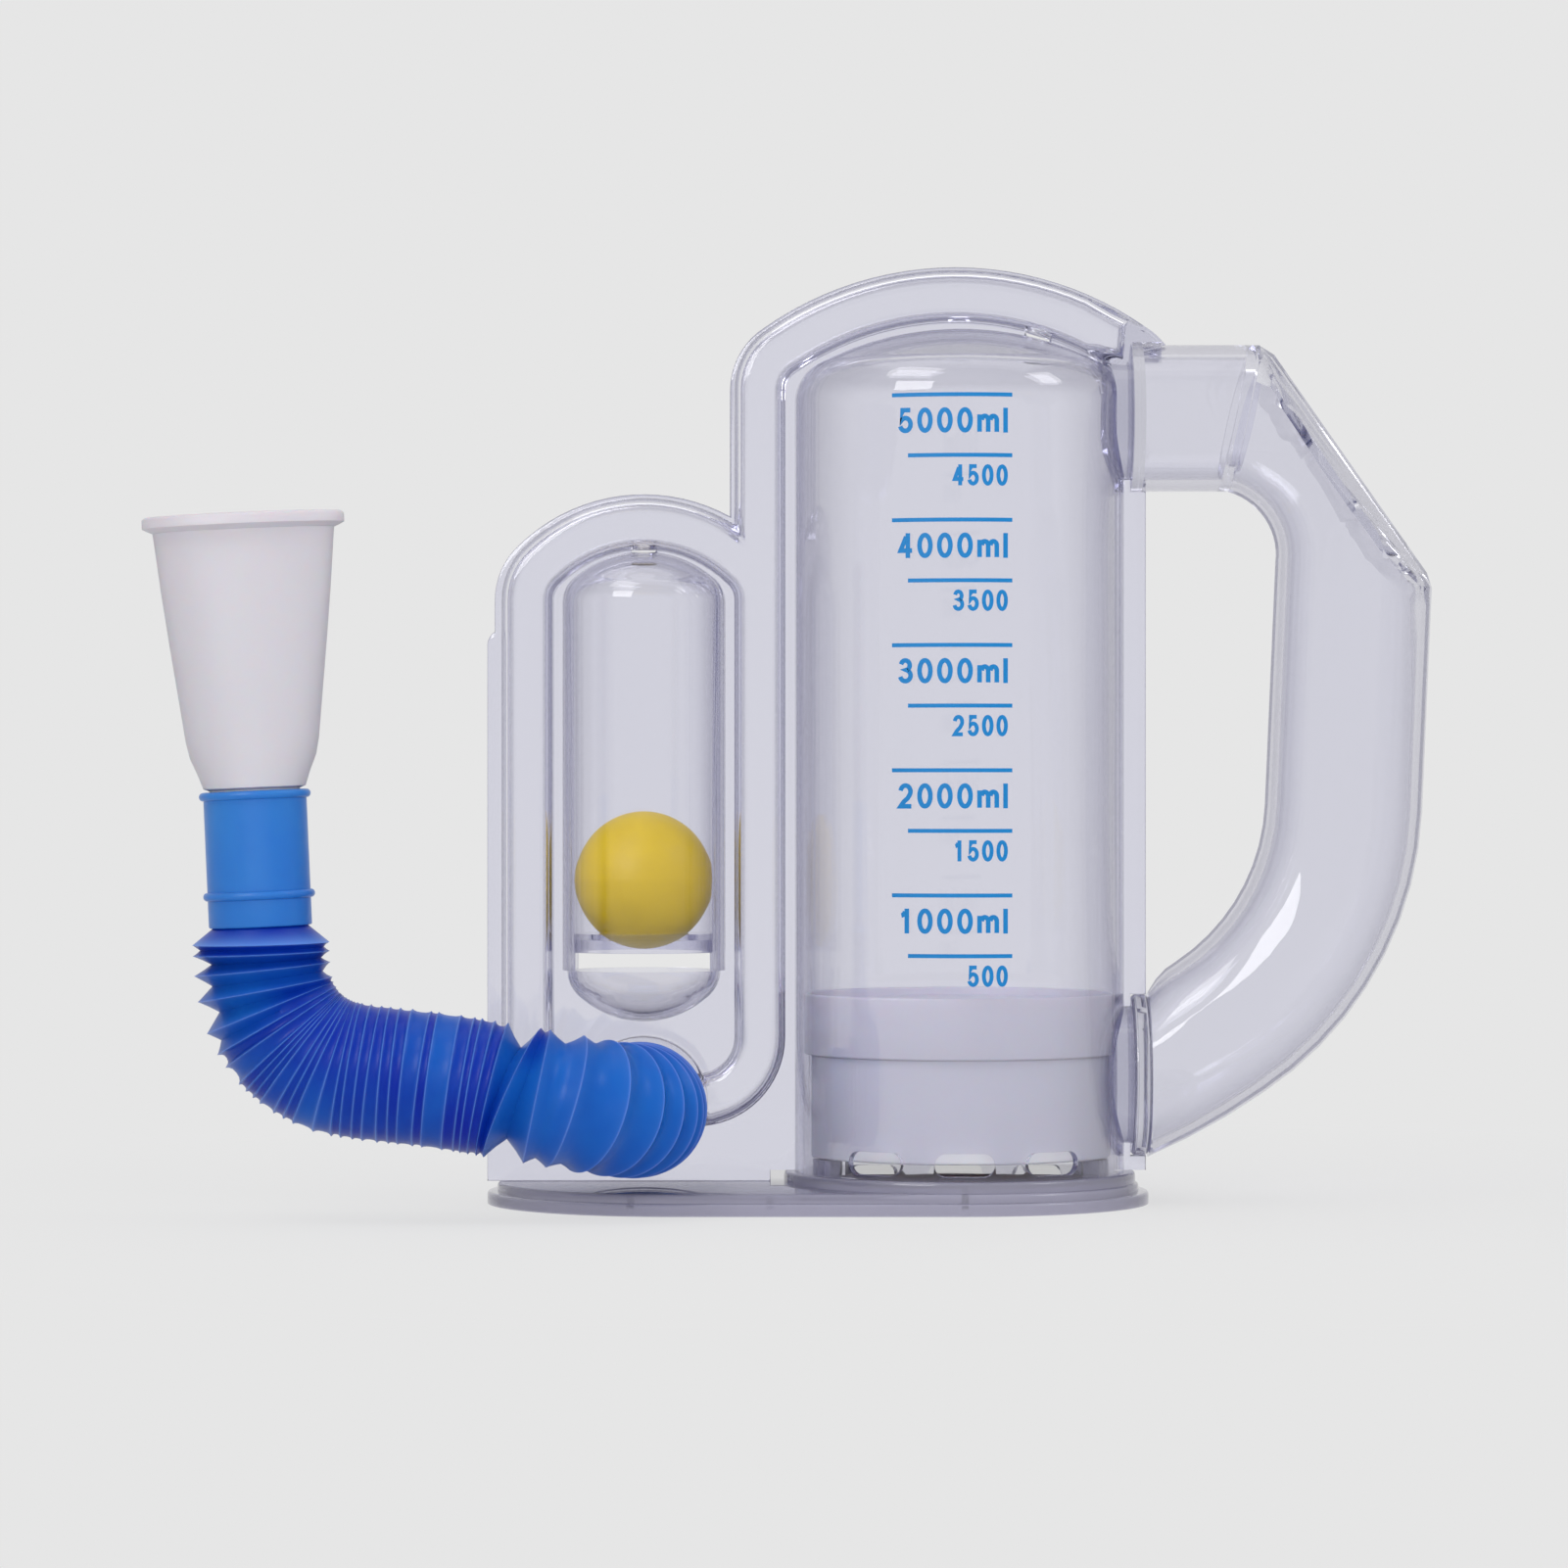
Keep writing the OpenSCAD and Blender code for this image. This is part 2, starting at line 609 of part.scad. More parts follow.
// Faces of a walled tube whose outer rings come first and whose inner rings follow
function tube_faces(rings, sides) = let (inner = rings * sides, last = (rings - 1) * sides) concat(
    [for (i = [0:rings - 2], k = [0:sides - 1]) let (a = i * sides + k, b = i * sides + (k + 1) % sides)
        each [[a, b, b + sides], [a, b + sides, a + sides]]],
    [for (i = [0:rings - 2], k = [0:sides - 1])
        let (a = inner + i * sides + k, b = inner + i * sides + (k + 1) % sides)
            each [[b, a, a + sides], [b, a + sides, b + sides]]],
    [for (k = [0:sides - 1]) let (n = (k + 1) % sides)
        each [[n, k, inner + k], [n, inner + k, inner + n],
            [last + k, last + n, inner + last + n], [last + k, inner + last + n, inner + last + k]]]);

module hose() {
    color([0.06, 0.25, 0.70]) polyhedron(concat(hose_skin(0), hose_skin(hose_wall)),
        tube_faces(ring_count, hose_sides));
}

// The mouthpiece's body above its cuff: its height and its half width, blending from round to oval
mouth_height_shares = [0.008, 0.06, 0.12, 0.18, 0.36, 0.54, 0.72, 0.9];
mouth_width_shares = [0, 0.13, 0.31, 0.4, 0.56, 0.72, 0.87, 1];
// Its lip: the distance down from the rim, and how far it stands out
lip_drop_shares = [1, 0.85, 0.25, 0];
lip_out_shares = [0.1, 1, 1, 0.6];
mouth_sides = 32;
// Rings of the body over which the bore stays as narrow as in the spigot
neck_rings = 2;
neck_r = spigot_r + cuff_gap + cuff_wall - 2 * seat_gap;
// Each ring of the mouthpiece: height, half width, half depth, what its lip adds, and its wall
mouth_rings = concat(
    [for (z = [-mouth_spigot_l - rest_gap, 0]) [z, spigot_r, spigot_r, 0, mouth_wall]],
    [for (i = [0:len(mouth_height_shares) - 1]) [mouth_h * mouth_height_shares[i],
        neck_r + (mouth_half_w - neck_r) * mouth_width_shares[i],
        neck_r + (mouth_half_d - neck_r) * mouth_height_shares[i], 0,
        mouth_wall + (i < neck_rings ? neck_r - spigot_r : 0)]],
    [for (i = [0:len(lip_drop_shares) - 1]) [mouth_h - lip_h * lip_drop_shares[i], mouth_half_w, mouth_half_d,
        lip_w * lip_out_shares[i], mouth_wall]]);
function mouth_skin(inside) = [for (ring = mouth_rings, k = [0:mouth_sides - 1])
    let (turn = 360 * k / mouth_sides, grow = inside ? -ring[4] : ring[3])
        [(ring[1] + grow) * cos(turn), (ring[2] + grow) * sin(turn), ring[0]]];

module mouthpiece() {
    color([0.83, 0.82, 0.86, 0.8]) on_mouth_axis() translate([0, 0, cuff_l + rest_gap])
        polyhedron(concat(mouth_skin(false), mouth_skin(true)), tube_faces(len(mouth_rings), mouth_sides));
}

// Keeps what lies to the left of the seam, moved to the right by a distance
module seam_cut(shift) {
    size = 2 * bend_r;
    intersection() {
        children();
        translate([bend_x + shift, 0, bend_z]) rotate([0, seam_deg, 0]) translate([-size, -size, 0])
            cube([size, 2 * size, size]);
    }
}

module stub_bar(from_x, r) {
    translate([from_x, 0, stub_z]) rotate([0, 90, 0]) cylinder(r = r, h = bend_r + stub_l);
}

// Upper stub of the grip: a tube cut along the seam, with a shoulder that carries a lip inside the grip
module upper_stub() {
    lip_r = stub_r - grip_wall - lip_gap;
    color([0.84, 0.85, 0.91, 0.5]) difference() {
        union() {
            seam_cut(-seat_gap) stub_bar(collar_x, stub_r);
            seam_cut(lip_l) stub_bar(collar_x, lip_r);
        }
        seam_cut(-grip_wall) stub_bar(collar_x + grip_wall, stub_r - grip_wall);
        stub_bar(collar_x + grip_wall, lip_r - lip_wall);
    }
}

// Lower collar: the ring that the grip's foot is welded to
module lower_collar() {
    edge_r = collar_t / 4;
    color([0.84, 0.85, 0.91, 0.5]) translate([collar_x, 0, collar_z]) rotate([0, 90, 0]) rotate_extrude() {
        translate([0, edge_r]) square([collar_r, collar_t - 2 * edge_r]);
        square([collar_r - edge_r, collar_t]);
        for (z = [edge_r, collar_t - edge_r]) translate([collar_r - edge_r, z]) circle(edge_r);
    }
}

// Stations of the grip's half shell: place in the middle plane, direction of its outer side, half
// height along that direction, and half depth
bend_steps = 14;
curve_steps = 9;
tail_steps = 3;
straight_shares = [0.08, 0.16, 0.3, 0.6];
grip_stations = concat(
    [for (i = [0:bend_steps]) let (s = i / bend_steps, turn = 90 - seam_deg - s * (90 - seam_deg + lean_deg),
        mitre = 1 + (1 - s) * (1 / cos(seam_deg) - 1), r = stub_r + s * (grip_r - stub_r))
        [bend_x + mitre * bend_r * cos(turn), bend_z + mitre * bend_r * sin(turn), turn, mitre * r, r]],
    [for (share = straight_shares) let (at = straight_from + share * (straight_to - straight_from))
        [at[0], at[1], -lean_deg, grip_r, grip_r]],
    [for (i = [0:curve_steps]) let (turn = -lean_deg - i / curve_steps * (curve_deg - lean_deg))
        [curve_at[0] + curve_r * cos(turn), curve_at[1] + curve_r * sin(turn), turn, grip_r, grip_r]],
    [for (i = [1:tail_steps]) let (s = i / tail_steps)
        [tail_from[0] - s * tail_l * sin(curve_deg) + (i == tail_steps ? seat_gap : 0),
            tail_from[1] - s * tail_l * cos(curve_deg), -curve_deg - s * (90 - curve_deg),
            grip_r + s * (foot_half_h - grip_r), grip_r + s * (collar_r - grip_r)]]);
grip_arc_steps = 12;

// The flat on the upper bend presses each point down to a shallow roof over the middle plane
function flattened(p, inset) = let (n = [sin(flat_deg), 0, cos(flat_deg)], centre = [bend_x, 0, bend_z],
    high = (p - centre) * n - (flat_d - inset - abs(p[1]) * tan(flat_fall_deg)))
    high > 0 ? p - high * n : p;
// Half a ring of the grip's wall; the one at the seam stays round, to meet the stub
function grip_ring(i, inset) = let (st = grip_stations[i]) [for (k = [0:grip_arc_steps])
    let (turn = 180 * k / grip_arc_steps, p = [st[0] + (st[3] - inset) * cos(turn) * cos(st[2]),
        -(st[4] - inset) * sin(turn), st[1] + (st[3] - inset) * cos(turn) * sin(st[2])])
        i == 0 ? p : flattened(p, inset)];
function reversed(v) = [for (i = [len(v) - 1:-1:0]) v[i]];

module grip_half() {
    n = grip_arc_steps + 1;
    loop = 2 * n;
    rings = len(grip_stations);
    last = (rings - 1) * loop;
    points = [for (i = [0:rings - 1]) each concat(grip_ring(i, 0), reversed(grip_ring(i, grip_wall)))];
    sides = [for (i = [0:rings - 2], k = [0:loop - 1]) let (a = i * loop + k, b = i * loop + (k + 1) % loop)
        each [[a, b, b + loop], [a, b + loop, a + loop]]];
    ends = [for (k = [0:n - 2]) let (a = k, b = k + 1, c = loop - 2 - k, d = loop - 1 - k)
        each [[b, a, d], [b, d, c], [last + a, last + b, last + c], [last + a, last + c, last + d]]];
    polyhedron(points, concat(sides, ends));
}

module handle_front() {
    color([0.82, 0.83, 0.88, 0.5]) grip_half();
}

module handle_rear() {
    color([0.80, 0.81, 0.87, 0.5]) mirror([0, 1, 0]) grip_half();
}

front_shell();
rear_shell();
base_tray();
piston();
flow_ball();
ball_seat();
scale_lines();
hose_port();
port_cuff();
hose();
mouth_cuff();
mouthpiece();
upper_stub();
lower_collar();
handle_front();
handle_rear();
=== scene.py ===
"""Looks of the breathing trainer: clear housing, piston, ball, grip, hose and mouthpiece.

Lengths and places are in millimetres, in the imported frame: +X towards the grip, +Y away from the
reader and +Z up. Meshes are written in metres, and so are the lengths of finishes, lamps and floor.
"""

import json
import logging
import math
from dataclasses import dataclass, field
from enum import Enum
from typing import Any, Callable, Optional, Sequence, Union

import bmesh
import bpy
from mathutils import Matrix, Vector

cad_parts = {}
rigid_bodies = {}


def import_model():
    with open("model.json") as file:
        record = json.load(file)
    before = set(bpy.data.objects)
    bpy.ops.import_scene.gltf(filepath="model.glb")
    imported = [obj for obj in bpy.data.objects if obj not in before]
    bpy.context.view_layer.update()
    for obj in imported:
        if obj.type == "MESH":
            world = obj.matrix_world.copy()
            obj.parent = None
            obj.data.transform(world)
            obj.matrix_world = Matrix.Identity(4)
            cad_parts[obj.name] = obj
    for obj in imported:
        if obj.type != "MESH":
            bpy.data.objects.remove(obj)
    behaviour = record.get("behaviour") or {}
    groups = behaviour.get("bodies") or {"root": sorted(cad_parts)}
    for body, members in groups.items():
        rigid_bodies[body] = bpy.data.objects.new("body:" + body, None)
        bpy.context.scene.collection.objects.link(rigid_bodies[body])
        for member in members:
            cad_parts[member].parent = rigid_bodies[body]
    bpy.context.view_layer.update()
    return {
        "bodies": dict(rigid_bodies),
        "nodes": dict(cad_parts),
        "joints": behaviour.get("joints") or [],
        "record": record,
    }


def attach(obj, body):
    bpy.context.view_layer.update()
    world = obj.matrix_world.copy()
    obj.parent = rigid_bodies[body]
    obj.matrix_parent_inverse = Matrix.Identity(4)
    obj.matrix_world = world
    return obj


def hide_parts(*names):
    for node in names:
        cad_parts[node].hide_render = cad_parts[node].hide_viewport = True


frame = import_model()

MM = 0.001
SAME = 0.02 * MM
GRAIN = 0.3 * MM
LOG = logging.getLogger("breathing_trainer")

Colour = tuple[float, float, float]
Place = tuple[float, float, float]
Spot = tuple[float, float]
Sockets = dict[Union[int, str], Any]
EdgeTest = Callable[[bmesh.types.BMEdge], bool]


def linear(red: int, green: int, blue: int) -> Colour:
    """Return a colour written as 0 to 255 display values in linear light."""

    def one(value: int) -> float:
        """Return one channel in linear light."""
        share = value / 255
        return share / 12.92 if share <= 0.04045 else ((share + 0.055) / 1.055) ** 2.4

    return one(red), one(green), one(blue)


# Shader graph helpers


class Wire:
    """One output of a node graph, with arithmetic that adds Math nodes."""

    def __init__(self, graph: "Graph", socket: bpy.types.NodeSocket) -> None:
        """Keep the graph and the socket that this wire carries."""
        self.graph = graph
        self.socket = socket

    def _math(self, operation: str, *values: "Number", clamp: bool = False) -> "Wire":
        """Add a Math node on the given values and return its output."""
        inputs = dict(enumerate(values))
        return self.graph.add("ShaderNodeMath", inputs, operation=operation, use_clamp=clamp)

    def __add__(self, other: "Number") -> "Wire":
        """Return this plus another value."""
        return self._math("ADD", self, other)

    __radd__ = __add__

    def __sub__(self, other: "Number") -> "Wire":
        """Return this minus another value."""
        return self._math("SUBTRACT", self, other)

    def __rsub__(self, other: "Number") -> "Wire":
        """Return another value minus this."""
        return self._math("SUBTRACT", other, self)

    def __mul__(self, other: "Number") -> "Wire":
        """Return this times another value."""
        return self._math("MULTIPLY", self, other)

    __rmul__ = __mul__

    def __pow__(self, other: "Number") -> "Wire":
        """Return this raised to a power."""
        return self._math("POWER", self, other)

    def clamped(self) -> "Wire":
        """Return this held between 0 and 1."""
        return self._math("ADD", self, 0.0, clamp=True)


Number = Union[Wire, float]


class Graph:
    """The node tree of a material or the world, built from Python expressions."""

    def __init__(self, owner: Union[bpy.types.Material, bpy.types.World]) -> None:
        """Take the owner's node tree and empty it."""
        self.owner = owner
        self.owner.use_nodes = True
        self.tree = self.owner.node_tree
        self.tree.nodes.clear()

    def add(
        self,
        kind: str,
        inputs: Optional[Sockets] = None,
        output: Union[int, str] = 0,
        **settings: Any,
    ) -> Wire:
        """Add a node, set it up and wire it.

        Args:
            kind: the node's type name.
            inputs: values or wires by socket name or number.
            output: the socket to return.
            settings: the node's own properties, set before the sockets.

        Returns:
            A wire from the chosen output.
        """
        node = self.tree.nodes.new(kind)
        for key, value in settings.items():
            setattr(node, key, value)
        for key, value in (inputs or {}).items():
            if isinstance(value, Wire):
                self.tree.links.new(value.socket, node.inputs[key])
            elif node.inputs[key].type == "RGBA":
                node.inputs[key].default_value = (*value, 1.0)
            else:
                node.inputs[key].default_value = value
        return Wire(self, node.outputs[output])

    def place(self) -> Wire:
        """Return the point being shaded, in the object's own metres."""
        return self.add("ShaderNodeTexCoord", output="Object")

    def ray(self, kind: str) -> Wire:
        """Return what the Light Path node tells about the ray."""
        return self.add("ShaderNodeLightPath", output=kind)

    def shows_backdrop(self) -> Wire:
        """Return 1 for the rays that show the backdrop as it is, and otherwise 0."""
        direct = self.ray("Is Camera Ray") + self.ray("Is Glossy Ray")
        return (direct + self.ray("Is Transmission Ray")).clamped()

    def noise(self, scale: float, detail: float = 3.0, stretch: Place = (1.0, 1.0, 1.0)) -> Wire:
        """Return a noise of about 0 to 1.

        Args:
            scale: cells per metre.
            detail: octaves.
            stretch: scale along each axis.

        Returns:
            A wire from the noise.
        """
        at = self.add("ShaderNodeMapping", {"Vector": self.place(), "Scale": stretch})
        return self.add("ShaderNodeTexNoise", {"Vector": at, "Scale": scale, "Detail": detail})

    def blend(self, share: Number, first: Any, second: Any) -> Wire:
        """Return a colour between two colours."""
        return self.add("ShaderNodeMix", {0: share, 6: first, 7: second}, 2, data_type="RGBA")

    def bump(self, height: Wire, strength: float, distance: float = GRAIN) -> Wire:
        """Return a normal bent by a height, which stands for a distance in metres."""
        inputs = {"Height": height, "Strength": strength, "Distance": distance}
        return self.add("ShaderNodeBump", inputs)

    def plastic(self, sockets: Sockets) -> Wire:
        """Return a Principled shader with the given values or wires."""
        return self.add("ShaderNodeBsdfPrincipled", sockets)

    def finish(self, shader: Wire, inside: Optional[Wire] = None) -> Any:
        """Wire the graph to its output.

        Args:
            shader: what the surface shows.
            inside: what fills the piece.

        Returns:
            The material or the world.
        """
        kind = "World" if isinstance(self.owner, bpy.types.World) else "Material"
        node = self.tree.nodes.new("ShaderNodeOutput" + kind)
        self.tree.links.new(shader.socket, node.inputs["Surface"])
        if inside:
            self.tree.links.new(inside.socket, node.inputs["Volume"])
        return self.owner


# Finishes


class Finish(Enum):
    """Finishes, each with the record's material slot that it belongs to."""

    SHELL = ("thin walls", "clear_plastic")
    FITTING = ("grip and fittings", "clear_plastic")
    BASE = ("base", "clear_plastic")
    PISTON = ("piston", "piston_plastic")
    BALL = ("ball", "ball_plastic")
    INK = ("scale", "scale_ink")
    HOSE = ("hose", "hose_plastic")
    CUFF = ("cuffs", "cuff_plastic")
    MOUTHPIECE = ("mouthpiece", "mouthpiece_plastic")

    @property
    def slot(self) -> str:
        """Return the record's material slot."""
        return self.value[1]


@dataclass(frozen=True)
class ClearPlastic:
    """Clear moulded polystyrene that greys with depth, with painted edge shade, so that edge-on
    walls show as lines.

    The colour goes from `face_on` to the painted edge shade `turned` as the surface turns away,
    `depth_density` is how fast the inside greys, and a ray that is bent more often than `last_bend`
    goes straight on.
    """

    name: str
    face_on: Colour
    turned: Colour
    depth_density: float
    clearness: float = 1.0
    shadow: Colour = linear(238, 238, 244)
    depth_tint: Colour = (0.44, 0.44, 0.56)
    turns_from: float = 0.22
    turns_to: float = 0.7
    mottle: float = 70.0
    mottle_depth: float = 0.04
    waves: float = 42.0
    wave_depth: float = 0.1
    flecks: float = 160.0
    fleck_depth: float = 0.03
    roughness: float = 0.02
    index: float = 1.46
    last_bend: float = 9.5

    def material(self) -> bpy.types.Material:
        """Return the material."""
        graph = Graph(bpy.data.materials.new(self.name))
        waves = graph.noise(self.waves, 2.0, (1.0, 1.0, 0.3))
        facing = graph.add("ShaderNodeLayerWeight", {"Blend": 0.5}, "Facing")
        rise = 1 / (self.turns_to - self.turns_from)
        mottle = graph.noise(self.mottle) * self.mottle_depth
        # painted edge shade: the share of `turned` grows as the surface turns from the view, with a
        # random mottle
        turned = ((facing - self.turns_from + mottle) * rise).clamped()
        glass = graph.plastic({
            "Base Color": graph.blend(turned, self.face_on, self.turned),
            "Roughness": graph.noise(self.flecks) * self.fleck_depth + self.roughness,
            "IOR": self.index,
            "Transmission Weight": self.clearness,
            "Normal": graph.bump(waves, self.wave_depth, MM),
        })
        clear = graph.add("ShaderNodeBsdfTransparent", {"Color": self.shadow})
        bends = {0: graph.ray("Ray Depth"), 1: self.last_bend}
        trapped = graph.add("ShaderNodeMath", bends, operation="GREATER_THAN")
        straight = (graph.ray("Is Shadow Ray") + trapped).clamped()
        inside = {"Color": self.depth_tint, "Density": self.depth_density}
        return graph.finish(
            graph.add("ShaderNodeMixShader", {0: straight, 1: glass, 2: clear}),
            graph.add("ShaderNodeVolumeAbsorption", inside),
        )


@dataclass(frozen=True)
class MilkyPlastic:
    """Milky moulded plastic with a soft body and a faint flow pattern."""

    name: str
    colour: Colour
    deep: Colour
    alpha: float
    roughness: float
    subsurface: float = 0.15
    subsurface_reach: float = 0.004
    flow: float = 26.0
    flow_contrast: float = 1.4
    flow_floor: float = 0.2
    grain: float = 240.0
    grain_depth: float = 0.16
    grain_bump: float = 0.08

    def material(self) -> bpy.types.Material:
        """Return the material."""
        graph = Graph(bpy.data.materials.new(self.name))
        flow = graph.noise(self.flow, stretch=(1.0, 1.0, 0.4)) * self.flow_contrast
        flow = flow - self.flow_floor
        speckle = graph.noise(self.grain, 4.0)
        return graph.finish(
            graph.plastic({
                "Base Color": graph.blend(flow.clamped(), self.deep, self.colour),
                "Roughness": speckle * self.grain_depth + (self.roughness - self.grain_depth / 2),
                "Alpha": self.alpha,
                "Subsurface Weight": self.subsurface,
                "Subsurface Scale": self.subsurface_reach,
                "Normal": graph.bump(speckle, self.grain_bump),
            })
        )


@dataclass(frozen=True)
class HosePlastic:
    """Blown blue polyethylene with random patches of tone, painted shade that deepens its tight
    folds and a painted highlight that makes its crests pale; on the cuffs, which carry no fold
    marks, only the patches show.
    """

    name: str
    # deep: painted shade in the hose's tight folds, and random tone on the cuffs; crest: a painted
    # highlight
    deep: Colour
    body: Colour
    crest: Colour
    gloss: float = 0.25
    roughness: float = 0.26
    subsurface: float = 0.12
    subsurface_reach: float = 0.003
    patches: float = 45.0
    patch_share: float = 0.9
    opened_share: float = 0.75
    light_floor: float = 0.3
    crest_highlight_power: float = 2.0
    crest_highlight_share: float = 0.8
    mottle: float = 300.0
    mottle_depth: float = 0.14
    grain: float = 420.0
    grain_bump: float = 0.1

    def material(self) -> bpy.types.Material:
        """Return the material."""
        graph = Graph(bpy.data.materials.new(self.name))
        height = graph.add("ShaderNodeAttribute", None, "Fac", attribute_name="crest")
        opened = graph.add("ShaderNodeAttribute", None, "Fac", attribute_name="opened")
        patches = graph.noise(self.patches) * self.patch_share
        # painted fold shade, lifted where the folds open and by random patches of tone
        light = (opened * self.opened_share + patches - self.light_floor).clamped()
        body = graph.blend(light, self.deep, self.body)
        # painted highlight on the crests
        pale = (height**self.crest_highlight_power * self.crest_highlight_share).clamped()
        return graph.finish(
            graph.plastic({
                "Base Color": graph.blend(pale, body, self.crest),
                "Roughness": graph.noise(self.mottle) * self.mottle_depth + self.roughness,
                "Specular IOR Level": self.gloss,
                "Subsurface Weight": self.subsurface,
                "Subsurface Scale": self.subsurface_reach,
                "Normal": graph.bump(graph.noise(self.grain), self.grain_bump),
            })
        )


@dataclass(frozen=True)
class Satin:
    """Solid satin plastic or ink."""

    name: str
    colour: Colour
    shade: Colour
    roughness: float
    texture: float = 180.0
    texture_depth: float = 0.12
    texture_bump: float = 0.06
    gloss: float = 0.3

    def material(self) -> bpy.types.Material:
        """Return the material."""
        graph = Graph(bpy.data.materials.new(self.name))
        fine = graph.noise(self.texture, 4.0)
        return graph.finish(
            graph.plastic({
                "Base Color": graph.blend(fine, self.shade, self.colour),
                "Roughness": fine * self.texture_depth + (self.roughness - self.texture_depth / 2),
                "Specular IOR Level": self.gloss,
                "Normal": graph.bump(fine, self.texture_bump),
            })
        )


@dataclass
class Finishes:
    """One material for each finish."""

    made: dict[Finish, bpy.types.Material] = field(default_factory=dict)

    def __post_init__(self) -> None:
        """Build the materials."""
        recipes: dict[Finish, Union[ClearPlastic, MilkyPlastic, HosePlastic, Satin]] = {
            # The second colour of each clear finish is its painted edge shade.
            Finish.SHELL: ClearPlastic(
                "clear_shell", linear(246, 246, 252), linear(196, 195, 206), 26.0
            ),
            Finish.FITTING: ClearPlastic(
                "clear_fitting", linear(244, 244, 250), linear(200, 199, 210), 14.0
            ),
            Finish.BASE: ClearPlastic(
                "clear_base", linear(172, 170, 188), linear(152, 150, 169), 4.0, clearness=0.5
            ),
            Finish.PISTON: MilkyPlastic(
                "milky_piston", linear(226, 224, 229), linear(219, 217, 223), 0.92, 0.4
            ),
            Finish.BALL: Satin("yellow_ball", linear(244, 208, 0), linear(238, 201, 0), 0.42),
            Finish.INK: Satin("blue_ink", linear(6, 126, 192), linear(2, 116, 184), 0.5, 900.0),
            # The hose's deep navy is painted shade in tight folds and its pale blue a painted crest
            # highlight.
            Finish.HOSE: HosePlastic(
                "blue_hose", linear(0, 30, 150), linear(20, 92, 180), linear(92, 140, 218), 0.14
            ),
            Finish.CUFF: HosePlastic(
                "light_blue_cuff", linear(36, 108, 192), linear(60, 138, 202), linear(96, 158, 216)
            ),
            Finish.MOUTHPIECE: MilkyPlastic(
                "milky_mouthpiece", linear(207, 204, 211), linear(200, 197, 205), 0.93, 0.45, 0.3
            ),
        }
        for finish, recipe in recipes.items():
            self.made[finish] = recipe.material()

    def dress(self, piece: bpy.types.Object, finish: Finish, carried: bool = False) -> None:
        """Give a piece a finish in place of any that it has.

        Args:
            piece: the mesh object.
            finish: the finish.
            carried: not used; it tells whether the piece is the CAD's own node, which has its slot
                already.
        """
        if piece.data.materials:
            for number in range(len(piece.data.materials)):
                piece.data.materials[number] = self.made[finish]
        else:
            piece.data.materials.append(self.made[finish])
        if not carried:
            finish.slot


# Mesh helpers


@dataclass
class Outline:
    """An open or closed outline in a plane, made of straight runs and arcs."""

    points: list[Spot] = field(default_factory=list)

    def to(self, *places: Spot) -> "Outline":
        """Add straight runs to the places and return the outline."""
        self.points.extend(places)
        return self

    def arc(
        self,
        centre: Spot,
        radius: float,
        start: float,
        end: float,
        steps: int = 8,
        tall: Optional[float] = None,
    ) -> "Outline":
        """Add an arc of a circle or an ellipse.

        Args:
            centre: the arc's centre.
            radius: its radius.
            start: its first angle in degrees.
            end: its last angle.
            steps: straight pieces that stand for it.
            tall: its second radius, where that isn't the same.
        """
        for step in range(steps + 1):
            turn = math.radians(start + (end - start) * step / steps)
            across, up = radius * math.cos(turn), (tall or radius) * math.sin(turn)
            self.points.append((centre[0] + across, centre[1] + up))
        return self


def finished(
    name: str,
    mesh: bmesh.types.BMesh,
    body: str,
    smooth_deg: float = 35.0,
    face_out: bool = True,
) -> bpy.types.Object:
    """Turn a bmesh into a shaded object that rides on a body.

    Args:
        name: the object's name.
        mesh: the bmesh, which is freed.
        body: the CAD body that the piece rides on.
        smooth_deg: edges that turn less than this are shaded smooth.
        face_out: whether its faces are turned outwards first.
    """
    if face_out:
        bmesh.ops.recalc_face_normals(mesh, faces=mesh.faces)
    limit = math.radians(smooth_deg)
    for face in mesh.faces:
        face.smooth = True
    for edge in mesh.edges:
        edge.smooth = len(edge.link_faces) == 2 and edge.calc_face_angle(math.pi) < limit
    data = bpy.data.meshes.new(name)
    mesh.to_mesh(data)
    mesh.free()
    piece = bpy.data.objects.new(name, data)
    bpy.context.scene.collection.objects.link(piece)
    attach(piece, body)
    LOG.info("%s: %d faces", name, len(data.polygons))
    return piece


def revolved(
    name: str,
    outline: Outline,
    place: Matrix,
    body: str,
    steps: int,
    smooth_deg: float = 35.0,
) -> bpy.types.Object:
    """Spin a closed section about its own Z axis and put it in place.

    Args:
        name: the object's name.
        outline: radius and height pairs, in order round the section.
        place: where the section's own frame lies, in metres.
        body: the body that the piece rides on.
        steps: pieces round the circle.
        smooth_deg: edges that turn less than this are shaded smooth.
    """
    mesh = bmesh.new()
    ring = [mesh.verts.new((r * MM, 0.0, z * MM)) for r, z in outline.points]
    edges = [mesh.edges.new(pair) for pair in zip(ring, ring[1:] + ring[:1])]
    bmesh.ops.spin(
        mesh,
        geom=ring + edges,
        cent=(0, 0, 0),
        axis=(0, 0, 1),
        angle=2 * math.pi,
        steps=steps,
        use_merge=True,
        use_duplicate=False,
    )
    bmesh.ops.remove_doubles(mesh, verts=mesh.verts, dist=1e-6)
    bmesh.ops.transform(mesh, matrix=place, verts=mesh.verts)
    return finished(name, mesh, body, smooth_deg)


